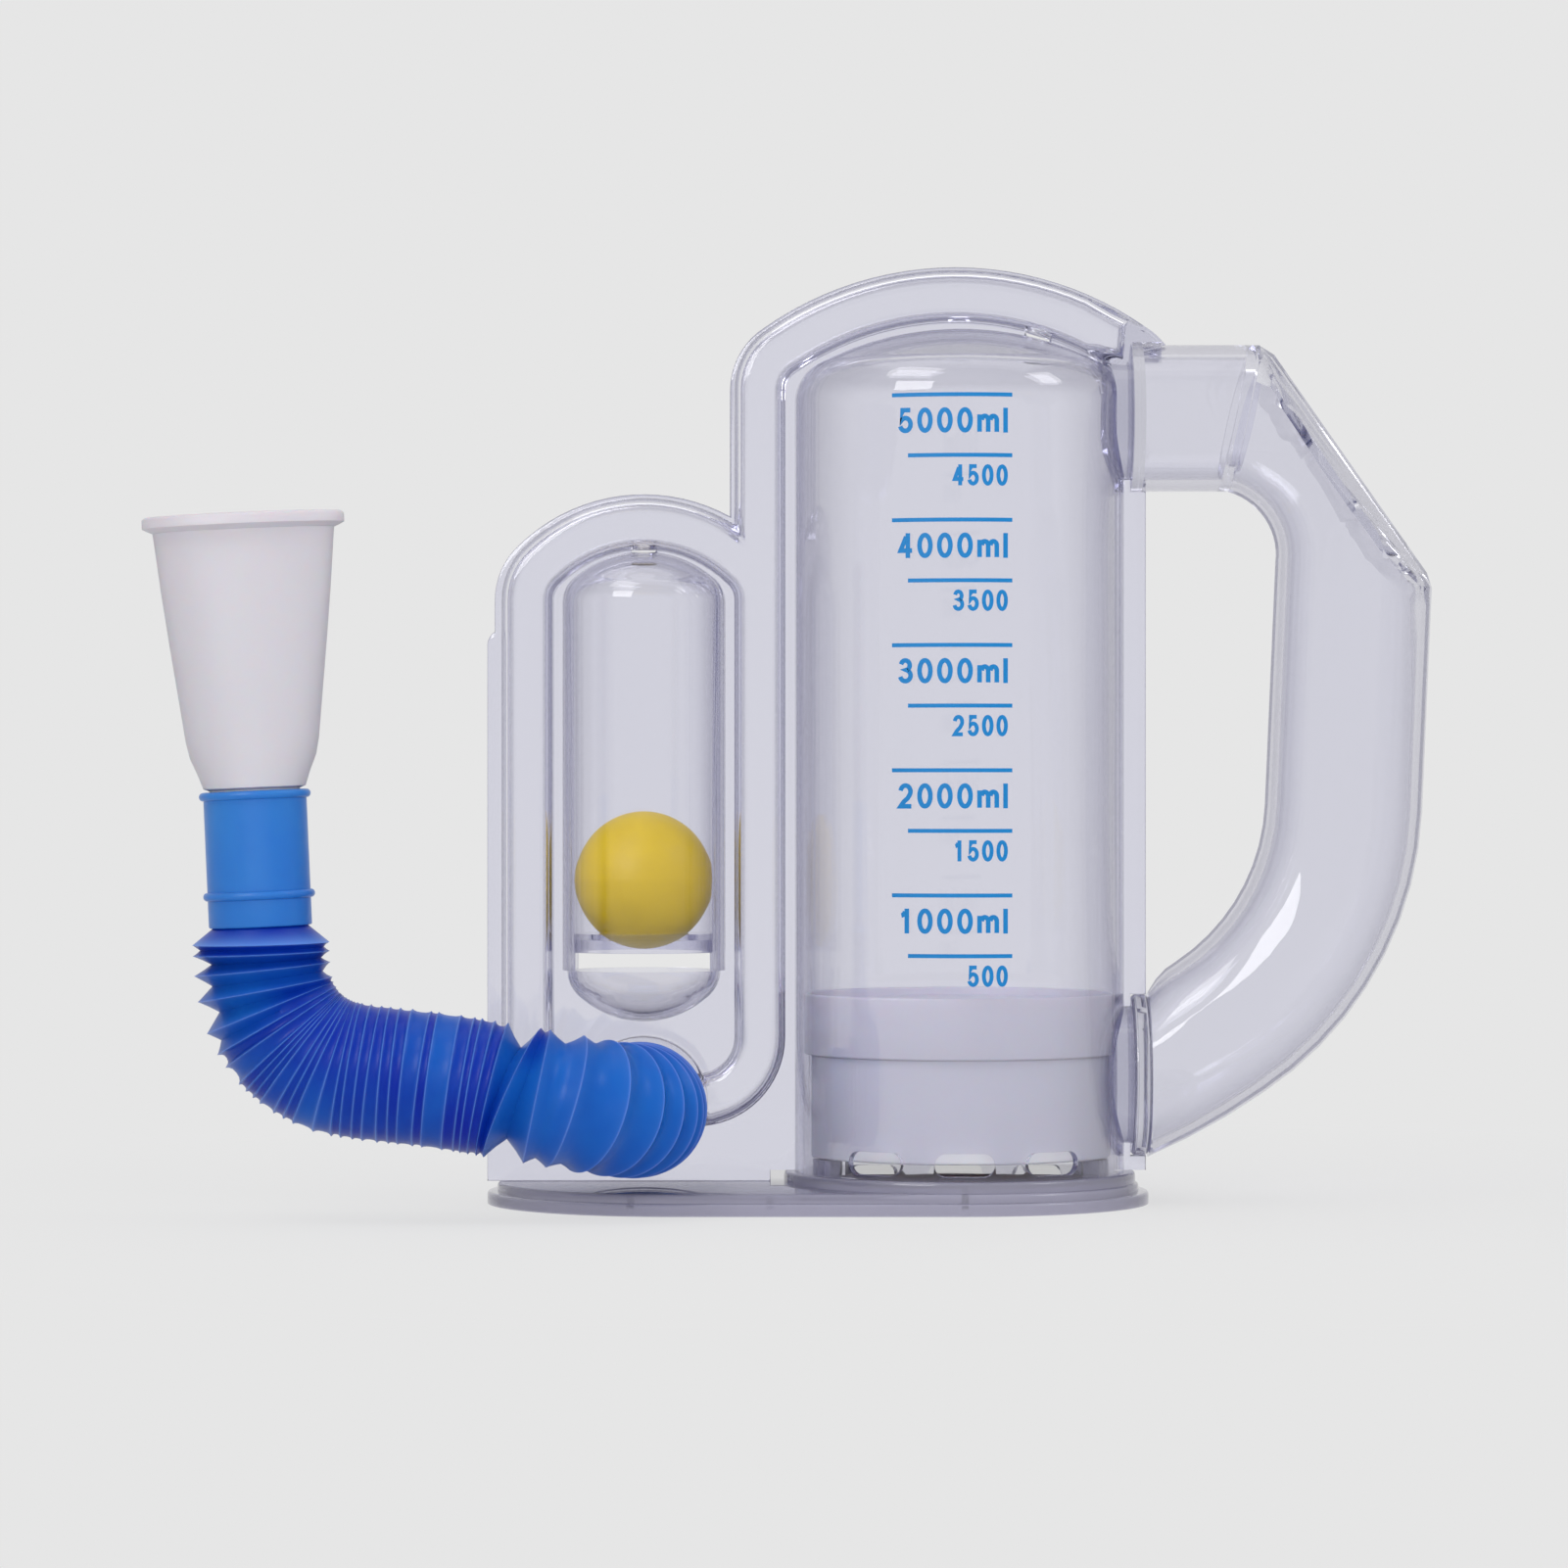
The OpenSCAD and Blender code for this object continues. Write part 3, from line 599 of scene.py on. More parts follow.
def lofted(
    mesh: bmesh.types.BMesh, frames: Sequence[Matrix], sides: int
) -> list[list[bmesh.types.BMVert]]:
    """Draw a circle of radius 1 through a row of frames and join the last ring to the first.

    Args:
        mesh: the empty bmesh that takes it.
        frames: the frame of each ring.
        sides: sides of the circle.

    Returns:
        The vertices of each ring.
    """
    made = bmesh.ops.create_circle(mesh, segments=sides, radius=1.0, matrix=frames[0])
    loops = [made["verts"]]
    opening = edges = mesh.edges[:]
    for before, after in zip(frames, frames[1:]):
        grown = bmesh.ops.extrude_edge_only(mesh, edges=edges)["geom"]
        loops.append([g for g in grown if isinstance(g, bmesh.types.BMVert)])
        edges = [g for g in grown if isinstance(g, bmesh.types.BMEdge)]
        bmesh.ops.transform(mesh, matrix=after @ before.inverted(), verts=loops[-1])
    bmesh.ops.bridge_loops(mesh, edges=opening + edges)
    return loops


@dataclass(frozen=True)
class Rounding:
    """A rounding: a test for its edges, its radius and its segments."""

    wanted: EdgeTest
    radius: float
    segments: int

    def cut(self, mesh: bmesh.types.BMesh) -> None:
        """Round the edges of a mesh that pass the test."""
        edges = [e for e in mesh.edges if len(e.link_faces) == 2 and self.wanted(e)]
        if not edges:
            return
        bmesh.ops.bevel(
            mesh,
            geom=edges,
            offset=self.radius * MM,
            offset_type="OFFSET",
            segments=self.segments,
            profile=0.5,
            affect="EDGES",
            clamp_overlap=False,
            material=-1,
        )


@dataclass
class MouldedCopy:
    """A copy of a CAD node's mesh, welded, with its moulded edges rounded."""

    node: str
    body: str
    smooth_deg: float = 32.0
    weld_gap: float = 0.03
    sliver: float = 0.15
    flat_deg: float = 0.2
    weld_heights: tuple[float, ...] = ()
    moves: tuple[tuple[Spot, Spot], ...] = ()
    cuts: tuple[float, ...] = ()

    def move(self, mesh: bmesh.types.BMesh) -> None:
        """Take the corners at given spots of the front view to others, at all their depths."""
        for vert in mesh.verts:
            for start, end in self.moves:
                if math.dist((vert.co.x / MM, vert.co.z / MM), start) < self.weld_gap:
                    vert.co.x, vert.co.z = end[0] * MM, end[1] * MM

    def open_welds(self, mesh: bmesh.types.BMesh) -> None:
        """Draw welded faces in by a hair, so that no two pieces share a face."""
        exact = 0.1 * SAME
        middle = sum(v.co.y for v in mesh.verts) / len(mesh.verts)
        away = math.copysign(self.weld_gap * MM, middle)
        for vert in mesh.verts:
            if abs(middle) > MM and abs(vert.co.y) < exact:
                vert.co.y = away
            for height in self.weld_heights:
                if abs(vert.co.z - height * MM) < exact:
                    vert.co.z -= self.weld_gap * MM

    def build(self, roundings: Sequence[Rounding] = ()) -> bpy.types.Object:
        """Build the copy and let it stand for the node.

        Args:
            roundings: the roundings, in order.
        """
        mesh = bmesh.new()
        mesh.from_mesh(frame["nodes"][self.node].data)
        bmesh.ops.remove_doubles(mesh, verts=mesh.verts, dist=self.sliver * MM)
        flat = math.radians(self.flat_deg)
        bmesh.ops.dissolve_limit(mesh, angle_limit=flat, verts=mesh.verts, edges=mesh.edges)
        self.open_welds(mesh)
        self.move(mesh)
        for height in self.cuts:
            bmesh.ops.bisect_plane(
                mesh,
                geom=mesh.verts[:] + mesh.edges[:] + mesh.faces[:],
                plane_co=(0.0, 0.0, height * MM),
                plane_no=(0.0, 0.0, 1.0),
            )
        for rounding in roundings:
            rounding.cut(mesh)
        bmesh.ops.triangulate(mesh, faces=[f for f in mesh.faces if len(f.verts) > 4])
        piece = finished(self.node + "_moulded", mesh, self.body, self.smooth_deg, face_out=False)
        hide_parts(self.node)
        return piece


def turns(edge: bmesh.types.BMEdge, least_deg: float = 60.0) -> bool:
    """Tell whether an edge is convex and turns more than an angle."""
    return edge.is_convex and edge.calc_face_angle(0.0) > math.radians(least_deg)


def sharp_at_depth(depth: float, right_end: float = math.inf) -> EdgeTest:
    """Return a test for convex, square edges that lie flat at a depth from the middle plane.

    Args:
        depth: the depth.
        right_end: edges that lie wholly to the right of this are left sharp.
    """

    def wanted(edge: bmesh.types.BMEdge) -> bool:
        """Tell whether an edge is one of them."""
        flat = all(abs(abs(v.co.y) - depth * MM) < SAME for v in edge.verts)
        return flat and any(v.co.x < right_end * MM for v in edge.verts) and turns(edge)

    return wanted


def sharp_at_height(height: float, slack: float = 0.05) -> EdgeTest:
    """Return a test for convex, square edges that lie flat at a height.

    Args:
        height: the height.
        slack: how far from it an edge may lie, more than an opened weld.
    """

    def wanted(edge: bmesh.types.BMEdge) -> bool:
        """Tell whether an edge is one of them."""
        return all(abs(v.co.z - height * MM) < slack * MM for v in edge.verts) and turns(edge)

    return wanted


def inner_corner_at_depth(depth: float, hole: Spot, hole_r: float) -> EdgeTest:
    """Return a test for inner corners at a depth, between a flat and a wall square to it.

    Args:
        depth: the depth.
        hole: X and Z of a hole's middle, round which corners are left sharp.
        hole_r: the radius of that patch.
    """

    def wanted(edge: bmesh.types.BMEdge) -> bool:
        """Tell whether an edge is one of them."""
        if edge.is_convex or any(abs(abs(v.co.y) - depth * MM) > SAME for v in edge.verts):
            return False
        if any(math.dist((v.co.x / MM, v.co.z / MM), hole) < hole_r for v in edge.verts):
            return False
        slopes = sorted(abs(face.normal.y) for face in edge.link_faces)
        return slopes[0] < 0.02 and slopes[1] > 0.99

    return wanted


def slot_edge(reach: float, low: float, high: float, slack: float = 0.2) -> EdgeTest:
    """Return a test for the outer edges of slots in an upright round wall.

    Args:
        reach: the wall's outer radius.
        low: height under the slots.
        high: height over them.
        slack: how far an edge may lie from that radius.
    """

    def wanted(edge: bmesh.types.BMEdge) -> bool:
        """Tell whether an edge is one of them."""
        for vert in edge.verts:
            out = math.hypot(vert.co.x, vert.co.y) / MM
            if abs(out - reach) > slack or not low < vert.co.z / MM < high:
                return False
        return turns(edge, 50.0)

    return wanted


# Sub-assemblies


@dataclass
class Housing:
    """The two clear half shells and the base that they stand on."""

    finishes: Finishes
    body: str = "housing"
    ridge_depth: float = 9.0
    ridge_round: float = 3.9
    ridge_end: float = 43.5
    void_depth: float = 7.5
    void_round: float = 2.4
    void_end: tuple[tuple[Spot, Spot], ...] = (
        ((36.0, 215.85), (41.5, 214.9)),
        ((36.0, 227.21), (42.3, 223.4)),
    )
    port: Spot = (-80.5, 26.0)
    port_patch: float = 10.5
    slot: Place = (42.0, 9.0, 15.3)
    slot_round: float = 0.2
    slot_cuts: tuple[float, ...] = (16.6, 19.0)
    boss_depth: float = 9.6
    boss_round: float = 0.6
    web_depth: float = 1.8
    web_round: float = 0.55
    # Height and rounding of the base's rim, deck and plinth
    base_steps: tuple[Spot, ...] = ((3.1, 0.7), (5.4, 0.9), (8.2, 0.9))

    def build(self) -> list[bpy.types.Object]:
        """Build and dress the shells and the base."""
        shells = [self.shell(node) for node in ("front_shell", "rear_shell")]
        base = self.base()
        for piece in shells:
            self.finishes.dress(piece, Finish.SHELL)
        self.finishes.dress(base, Finish.BASE)
        return [*shells, base]

    def shell(self, node: str) -> bpy.types.Object:
        """Build one half shell with a rounded air ridge, boss and flange.

        Args:
            node: the CAD node.
        """
        corner = inner_corner_at_depth(self.void_depth, self.port, self.port_patch)
        return MouldedCopy(node, self.body, moves=self.void_end, cuts=self.slot_cuts).build(
            [
                Rounding(slot_edge(*self.slot), self.slot_round, 3),
                Rounding(corner, self.void_round, 4),
                Rounding(sharp_at_depth(self.ridge_depth, self.ridge_end), self.ridge_round, 6),
                Rounding(sharp_at_depth(self.boss_depth), self.boss_round, 3),
                Rounding(sharp_at_depth(self.web_depth), self.web_round, 2),
            ]
        )

    def base(self) -> bpy.types.Object:
        """Build the base with its rounded steps."""
        welds = tuple(height for height, _ in self.base_steps[1:])
        steps = [Rounding(sharp_at_height(height), edge, 3) for height, edge in self.base_steps]
        return MouldedCopy("base_tray", self.body, weld_heights=welds).build(steps)


@dataclass
class Piston:
    """The cup-shaped piston: a band that fills the bore, a narrower skirt and a sunk top."""

    finishes: Finishes
    body: str = "piston"
    band_r: float = 39.6
    skirt_r: float = 38.3
    foot_z: float = 12.0
    step_z: float = 38.0
    top_z: float = 53.4
    panel_z: float = 51.2
    wall: float = 1.2
    edge: float = 0.5
    sides: int = 128

    def build(self) -> bpy.types.Object:
        """Build the piston as one revolved wall."""
        half, edge = self.wall / 2, self.edge
        skirt_in, band_in = self.skirt_r - self.wall, self.band_r - self.wall
        outline = Outline()
        outline.to((0.0, self.panel_z), (band_in - 2 * edge, self.panel_z))
        outline.arc((band_in - edge, self.panel_z + edge), edge, -90, 0, 4)
        outline.arc((self.band_r - half, self.top_z - half), half, 180, 0)
        outline.arc((self.band_r - edge, self.step_z + edge), edge, 0, -90, 4)
        outline.to((self.skirt_r, self.step_z - edge / 2))
        outline.arc((self.skirt_r - half, self.foot_z + half), half, 0, -180)
        outline.to((skirt_in, self.step_z + self.wall))
        outline.to((band_in - edge, self.step_z + self.wall + edge))
        outline.to((band_in - edge, self.panel_z - self.wall - edge))
        outline.to((0.0, self.panel_z - self.wall))
        piece = revolved("piston_cup", outline, Matrix.Identity(4), self.body, self.sides)
        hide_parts("piston")
        self.finishes.dress(piece, Finish.PISTON)
        return piece


@dataclass
class FlowBall:
    """The yellow flow indicator ball, with a faint moulding line round its middle."""

    finishes: Finishes
    centre: Place = (-80.5, 0.0, 82.09)
    radius: float = 17.5
    parting: float = 0.12
    parting_w: float = 0.5
    sides: int = 96
    bands: int = 64
    smooth_deg: float = 60.0

    def build(self) -> bpy.types.Object:
        """Build the ball."""
        mesh = bmesh.new()
        bmesh.ops.create_uvsphere(
            mesh, u_segments=self.sides, v_segments=self.bands, radius=self.radius * MM
        )
        for vert in mesh.verts:
            if abs(vert.co.z) < self.parting_w * MM:
                vert.co *= 1 + self.parting / self.radius
        place = Matrix.Translation(Vector(self.centre) * MM)
        bmesh.ops.transform(mesh, matrix=place, verts=mesh.verts)
        piece = finished("indicator_ball", mesh, "ball", self.smooth_deg)
        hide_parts("flow_ball")
        self.finishes.dress(piece, Finish.BALL)
        return piece


@dataclass(frozen=True)
class Lettering:
    """Numerals drawn as strokes of one width, in units of their own height."""

    digit_w: float
    gap: float
    stroke: float = 0.185
    m_w: float = 0.87
    x_height: float = 0.75
    foot: float = 0.10

    def strokes(self, sign: str) -> list[Outline]:
        """Return a sign's middle lines.

        Args:
            sign: a digit, m or l.

        Returns:
            The lines, from 0 to 1 across the sign and up it.
        """
        foot, head = -self.foot, 1 + self.foot
        drawn = {
            "0": [Outline().arc((0.5, 0.5), 0.5, 0, 360, 28, 0.5)],
            "1": [
                Outline().to((0.62, foot), (0.62, head)),
                Outline().to((0.46, 0.95), (0.36, 0.84), (0.2, 0.78), (0.1, 0.77)),
            ],
            "2": [
                Outline().arc((0.5, 0.71), 0.47, 172, -28, 14, 0.29)
                .to((0.72, 0.4), (0.3, 0.2), (0.03, 0.0), (1.05, 0.0))
            ],
            "3": [
                Outline().arc((0.48, 0.76), 0.42, 168, -62, 12, 0.24)
                .to((0.42, 0.54)).arc((0.48, 0.27), 0.5, 62, -168, 14, 0.27)
            ],
            "4": [
                Outline().to((0.72, foot), (0.72, head)),
                Outline().to((0.56, 0.93), (0.02, 0.26), (0.56, 0.26)),
                Outline().to((0.88, 0.26), (1.12, 0.26)),
            ],
            "5": [
                Outline().to((0.95, 1.0), (0.2, 1.0), (0.08, 0.47))
                .arc((0.48, 0.31), 0.5, 132, -165, 16, 0.31)
            ],
            "m": [
                Outline().to((0.0, foot), (0.0, head)),
                *(
                    Outline().to((left + 0.12, 0.74)).arc((left + 0.3, 0.72), 0.2, 125, 0, 8, 0.28)
                    .to((left + 0.5, foot))
                    for left in (0.0, 0.5)
                ),
            ],
            "l": [Outline().to((0.0, foot), (0.0, head))],
        }
        return drawn[sign]

    def size(self, sign: str) -> Spot:
        """Return a sign's width and height."""
        if sign == "m":
            return self.m_w, self.x_height
        return (self.stroke if sign == "l" else self.digit_w), 1.0

    def ribbon(
        self,
        mesh: bmesh.types.BMesh,
        line: Outline,
        at: Matrix,
        height: float,
        corner_reach: float = 2.2,
    ) -> None:
        """Add one stroke to a mesh as a flat band.

        Args:
            mesh: the bmesh that takes it.
            line: its middle line.
            at: takes the line's plane to metres.
            height: height of a numeral in metres.
            corner_reach: how far a sharp corner may stick out, in half strokes.
        """
        points = [at @ Vector((*p, 0.0)) for p in line.points]
        closed = (points[0] - points[-1]).length < 1e-7
        if closed:
            points.pop()
        count = len(points)
        half = self.stroke / 2 * height
        sides: list[list[bmesh.types.BMVert]] = [[], []]
        for i, point in enumerate(points):
            before = points[i - 1] if closed or i else point
            after = points[(i + 1) % count] if closed or i + 1 < count else point
            ways = [w.normalized() for w in (point - before, after - point) if w.length]
            middle = sum(ways, Vector()).normalized()
            reach = min(1 / max(middle.dot(ways[0]), 0.2), corner_reach)
            across = Vector((-middle.y, middle.x, 0.0)) * half * reach
            for side, way in zip(sides, (across, -across)):
                side.append(mesh.verts.new(point + way))
        edges = []
        for side in sides:
            ends = zip(side, side[1:] + side[:1]) if closed else zip(side, side[1:])
            edges += [mesh.edges.new(pair) for pair in ends]
        bmesh.ops.bridge_loops(mesh, edges=edges)


@dataclass
class ScalePrint:
    """The printed numerals of the scale, wrapped onto the chamber."""

    finishes: Finishes
    chamber_r: float = 42.0
    ink: float = 0.1
    proud: float = 0.04
    right_x: float = 10.75
    first_z: float = 79.0
    step: float = 31.0
    minor_drop: float = 15.0
    majors: int = 5
    major_h: float = 6.3
    minor_h: float = 5.3
    major_below: float = 9.5
    minor_below: float = 7.6
    major: Lettering = Lettering(0.62, 0.17)
    minor: Lettering = Lettering(0.55, 0.135)
    smooth_deg: float = 60.0

    def build(self) -> bpy.types.Object:
        """Build all numerals as one piece."""
        mesh = bmesh.new()
        for number in range(self.majors):
            line_z = self.first_z + number * self.step
            volume = 1000 * (number + 1)
            self.add_row(mesh, self.major, f"{volume}ml", line_z - self.major_below, self.major_h)
            minor_z = line_z - self.minor_drop - self.minor_below
            self.add_row(mesh, self.minor, f"{volume - 500}", minor_z, self.minor_h)
        for vert in mesh.verts:
            turn = vert.co.x / (self.chamber_r * MM)
            reach = (self.chamber_r + self.proud) * MM
            vert.co = Vector((reach * math.sin(turn), -reach * math.cos(turn), vert.co.y))
        for face in mesh.faces:
            face.normal_update()
            if face.normal.y > 0:
                face.normal_flip()
        bmesh.ops.solidify(mesh, geom=mesh.faces[:], thickness=-self.ink * MM)
        piece = finished("scale_numerals", mesh, "housing", self.smooth_deg)
        self.finishes.dress(piece, Finish.INK)
        return piece

    def add_row(
        self, mesh: bmesh.types.BMesh, letters: Lettering, words: str, foot: float, height: float
    ) -> None:
        """Add one row of numerals to the mesh, flat, with its right end at the scale's.

        Args:
            mesh: the bmesh that takes it.
            letters: how the signs are drawn.
            words: the numerals.
            foot: height of their foot.
            height: height of a numeral.
        """
        right = self.right_x / height
        inset = letters.stroke / 2
        for sign in reversed(words):
            wide, tall = letters.size(sign)
            at = (
                Matrix.Scale(height * MM, 4)
                @ Matrix.Translation((right - wide + inset, foot / height + inset, 0.0))
                @ Matrix.Diagonal((wide - 2 * inset, tall - 2 * inset, 1.0, 1.0))
            )
            for line in letters.strokes(sign):
                letters.ribbon(mesh, line, at, height * MM)
            right -= wide + letters.gap


@dataclass
class Grip:
    """The hollow grip: its two half shells, the upper stub and the lower collar."""

    finishes: Finishes
    body: str = "housing"
    nodes: tuple[str, ...] = ("handle_front", "handle_rear", "upper_stub", "lower_collar")
    smooth_deg: float = 28.0

    def build(self) -> list[bpy.types.Object]:
        """Build and dress the grip's pieces."""
        pieces = [MouldedCopy(node, self.body, self.smooth_deg).build() for node in self.nodes]
        for piece in pieces:
            self.finishes.dress(piece, Finish.FITTING)
        return pieces


@dataclass(frozen=True)
class Ring:
    """One ring of the hose, with what makes it depart from a plain circle.

    `at` is in metres along the line and the other lengths are in millimetres. `lean` is the slope
    of the ring towards its top, `gap` the distance between the crests on both sides, `spread` how
    much more their slopes differ, and `sink` the depth that the ring has where that gap is as wide
    as it is at the middle line. `crest` is how much of the painted crest highlight the ring takes:
    1 on a crest.
    """

    at: float
    radius: float
    lean: float = 0.0
    gap: float = 0.0
    spread: float = 0.0
    sink: float = 0.0
    crest: float = 0.0


@dataclass
class Hose:
    """The corrugated hose along its middle line: a plain tube that is folded ring by ring."""

    finishes: Finishes
    body: str = "housing"
    route: tuple[Place, ...] = (
        (-80.5, -26.5, 26), (-80.5, -34, 26), (-80.5, -43, 26), (-82.4, -51.4, 26.4),
        (-87.4, -58.6, 27.4), (-94.6, -63.3, 28.8), (-103, -65, 30.4), (-114, -65, 32.2),
        (-125, -65, 34), (-136, -65, 35.4), (-145.5, -65, 36.4), (-155.4, -65, 38.4),
        (-163.9, -65, 43.8), (-169.4, -65, 52), (-171.4, -65, 61), (-171.9, -65, 72),
        (-172.2, -65, 80), (-172.6, -65, 88),
    )
    steps: int = 12
    # Each fold from the port on: distance to its crest, depth of its groove and lean in degrees
    folds: tuple[Place, ...] = (
        (2.0, 0.0, 0), (3.0, 1.5, 0), (3.0, 1.5, 0), (3.5, 1.5, 0), (4.0, 1.5, 2), (4.5, 1.4, 4),
        (5.0, 1.4, 6), (6.5, 1.4, 7), (7.5, 1.5, 6), (7.0, 2.2, 2), (6.0, 3.2, 15), (5.0, 3.4, 4),
        (2.6, 0.8, 2), (2.6, 0.4, 0), (1.7, 0.4, 0), (3.1, 0.4, 0), (5.2, 0.4, 0), (2.1, 0.4, 1),
        (4.1, 0.4, 0), (2.6, 0.4, 0), (2.6, 0.4, 0), (2.9, 0.4, 0), (2.5, 0.4, 0), (2.6, 0.4, 0),
        (1.7, 0.4, 0), (2.7, 0.4, 0), (3.0, 0.4, 0), (1.7, 0.4, 0), (1.7, 0.4, 0), (2.5, 0.4, 0),
        (1.3, 0.4, 0), (1.3, 0.4, 0), (1.3, 0.4, 0), (3.1, 0.8, 0), (2.3, 0.9, 0), (3.6, 1.5, 0),
        (4.6, 2.8, 0), (5.0, 3.0, 0), (3.8, 3.2, 0), (2.4, 1.5, 0), (4.2, 0.0, 0),
    )
    open_depth: float = 1.2
    open_power: float = 1.15
    shut_power: float = 3.0
    shut_gap: float = 0.8
    least_gap: float = 0.3
    least_share: float = 0.2
    most_share: float = 1.6
    opens_from: float = 2.6
    opens_over: float = 3.5
    bend_span: int = 3
    ribs_from: int = 1
    ribs_to: int = 15
    plain_r: float = 11.1
    end_step: float = 0.4
    crest_r: float = 16.6
    wall: float = 0.9
    bore_rings: int = 48
    rim: float = 0.12
    rim_w: float = 0.3
    rim_share: float = 0.2
    # share of the painted crest highlight on the rings next to a crest, which widens its line
    rim_highlight: float = 0.3
    sides: int = 64
    smooth_deg: float = 70.0

    def line(self) -> list[Vector]:
        """Return the points, in metres, of a smooth curve through the route."""
        points = [Vector(p) * MM for p in self.route]
        last = len(points) - 1
        fine: list[Vector] = []
        for i in range(last):
            a, b = points[max(i - 1, 0)], points[i]
            c, d = points[i + 1], points[min(i + 2, last)]
            for k in range(self.steps):
                t = k / self.steps
                slope = (c - a) * t
                curve = (2 * a - 5 * b + 4 * c - d) * t**2
                fine.append(0.5 * (2 * b + slope + curve + (3 * b - a - 3 * c + d) * t**3))
        fine.append(points[last])
        return fine

    def build(self) -> bpy.types.Object:
        """Build the hose as one closed, walled tube with rounded ribs."""
        fine = self.line()
        lengths = [0.0]
        for a, b in zip(fine, fine[1:]):
            lengths.append(lengths[-1] + (b - a).length)
        start = lengths[self.ribs_from * self.steps]
        end = lengths[self.ribs_to * self.steps]
        rings = self.rings(start, end, lengths[-1])
        mesh = bmesh.new()
        for layer in ("crest", "opened"):
            mesh.verts.layers.float.new(layer)
        up = Vector((0.0, 0.0, 1.0))
        frames: list[Matrix] = []
        for ring in rings:
            place, way = self.at_length(fine, lengths, ring.at)
            up = (up - way * up.dot(way)).normalized()
            turn = Matrix((up, way.cross(up), way)).transposed().to_4x4()
            size = Matrix.Diagonal((ring.radius * MM, ring.radius * MM, MM, 1))
            frames.append(Matrix.Translation(place) @ turn @ size)
        self.fold(mesh, rings, lofted(mesh, frames, self.sides), frames)
        piece = finished("corrugated_hose", mesh, self.body, self.smooth_deg)
        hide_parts("hose")
        self.finishes.dress(piece, Finish.HOSE)
        return piece

    def fold(
        self,
        mesh: bmesh.types.BMesh,
        rings: list[Ring],
        loops: list[list[bmesh.types.BMVert]],
        frames: list[Matrix],
    ) -> None:
        """Lean the crests and sink the grooves of the plain tube, deeper where a fold is wider.

        Args:
            mesh: the tube.
            rings: what each ring is.
            loops: the vertices of each ring.
            frames: the frame of each ring, in which it is a circle of radius 1.
        """
        crest = mesh.verts.layers.float["crest"]
        opened = mesh.verts.layers.float["opened"]
        ways = [frame.col[2].xyz.normalized() for frame in frames]
        for i, (ring, loop, ring_frame) in enumerate(zip(rings, loops, frames)):
            if not (ring.crest or ring.gap):
                continue
            low, high = max(i - self.bend_span, 0), min(i + self.bend_span, len(rings) - 1)
            bend = (ways[high] - ways[low]) / ((rings[high].at - rings[low].at) / MM)
            back = ring_frame.inverted()
            centre = ring_frame.translation
            for vert in loop:
                out = (vert.co - centre).normalized()
                height = (back @ vert.co).x
                gap = ring.gap * (1 - ring.radius * bend.dot(out))
                gap += ring.radius * ring.spread * height
                sink = 0.0
                if ring.gap:
                    wide = (gap - self.shut_gap) / max(ring.gap - self.shut_gap, self.least_gap)
                    down = ring.sink * min(max(wide, self.least_share), self.most_share)
                    sink = min(down, self.crest_r - self.plain_r) + self.rim
                vert.co = centre + out * (ring.radius - sink) * MM
                vert.co -= ways[i] * ring.lean * ring.radius * height * MM
                # the painted crest highlight's share, and how open the fold is, which lifts the
                # painted fold shade
                vert[crest] = ring.crest
                vert[opened] = min(max((gap - self.opens_from) / self.opens_over, 0.0), 1.0)

    def rings(self, start: float, end: float, total: float) -> list[Ring]:
        """Return the hose's rings, out along the outside and back along the bore.

        Args:
            start: length at which the ribs start, in metres.
            end: length at which they end.
            total: length of the line.
        """
        scale = (end - start) / sum(fold[0] for fold in self.folds)
        rings = [Ring(at, self.plain_r) for at in (0.0, start - MM, start)]
        at = start + self.folds[0][0] * scale
        crests = self.folds[:-1]
        slopes = [math.tan(math.radians(fold[2])) for fold in crests]
        rings.append(Ring(at, self.crest_r, slopes[0], crest=1.0))
        for (wide, depth, _), slope, after in zip(crests[1:], slopes, slopes[1:]):
            near = min(self.rim_w / wide, self.rim_share)
            power = self.open_power if depth > self.open_depth else self.shut_power
            for share in (near, 0.25, 0.5, 0.75, 1 - near):
                there = at + wide * scale * share
                lean = slope + (after - slope) * share
                down = depth * (1 - abs(1 - 2 * share) ** power)
                # the rings next to a crest take part of its painted highlight
                painted_highlight = self.rim_highlight if share in (near, 1 - near) else 0.0
                rings.append(Ring(there, self.crest_r, lean, wide, slope - after, down, painted_highlight))
            at += wide * scale
            rings.append(Ring(at, self.crest_r, after, crest=1.0))
        rings += [Ring(end, self.plain_r + self.end_step), Ring(end + MM, self.plain_r)]
        rings.append(Ring(total, self.plain_r))
        back = self.bore_rings
        bore = self.plain_r - self.wall
        rings += [Ring(total * (1 - i / back), bore) for i in range(back + 1)]
        return rings

    @staticmethod
    def at_length(fine: list[Vector], lengths: list[float], at: float) -> tuple[Vector, Vector]:
        """Return the place and the direction at a length along a line.

        Args:
            fine: the line's points.
            lengths: the length up to each of them.
            at: the length wanted.

        Returns:
            The point, and a unit vector along the line.
        """
        at = min(max(at, 0.0), lengths[-1])
        i = max(k for k in range(len(lengths) - 1) if lengths[k] <= at)
        share = (at - lengths[i]) / (lengths[i + 1] - lengths[i])
        before = fine[max(i - 1, 0)]
        after = fine[min(i + 2, len(fine) - 1)]
        here = fine[i].lerp(fine[i + 1], share)
        way = (fine[i + 1] - before).lerp(after - fine[i], share).normalized()
        return here, way


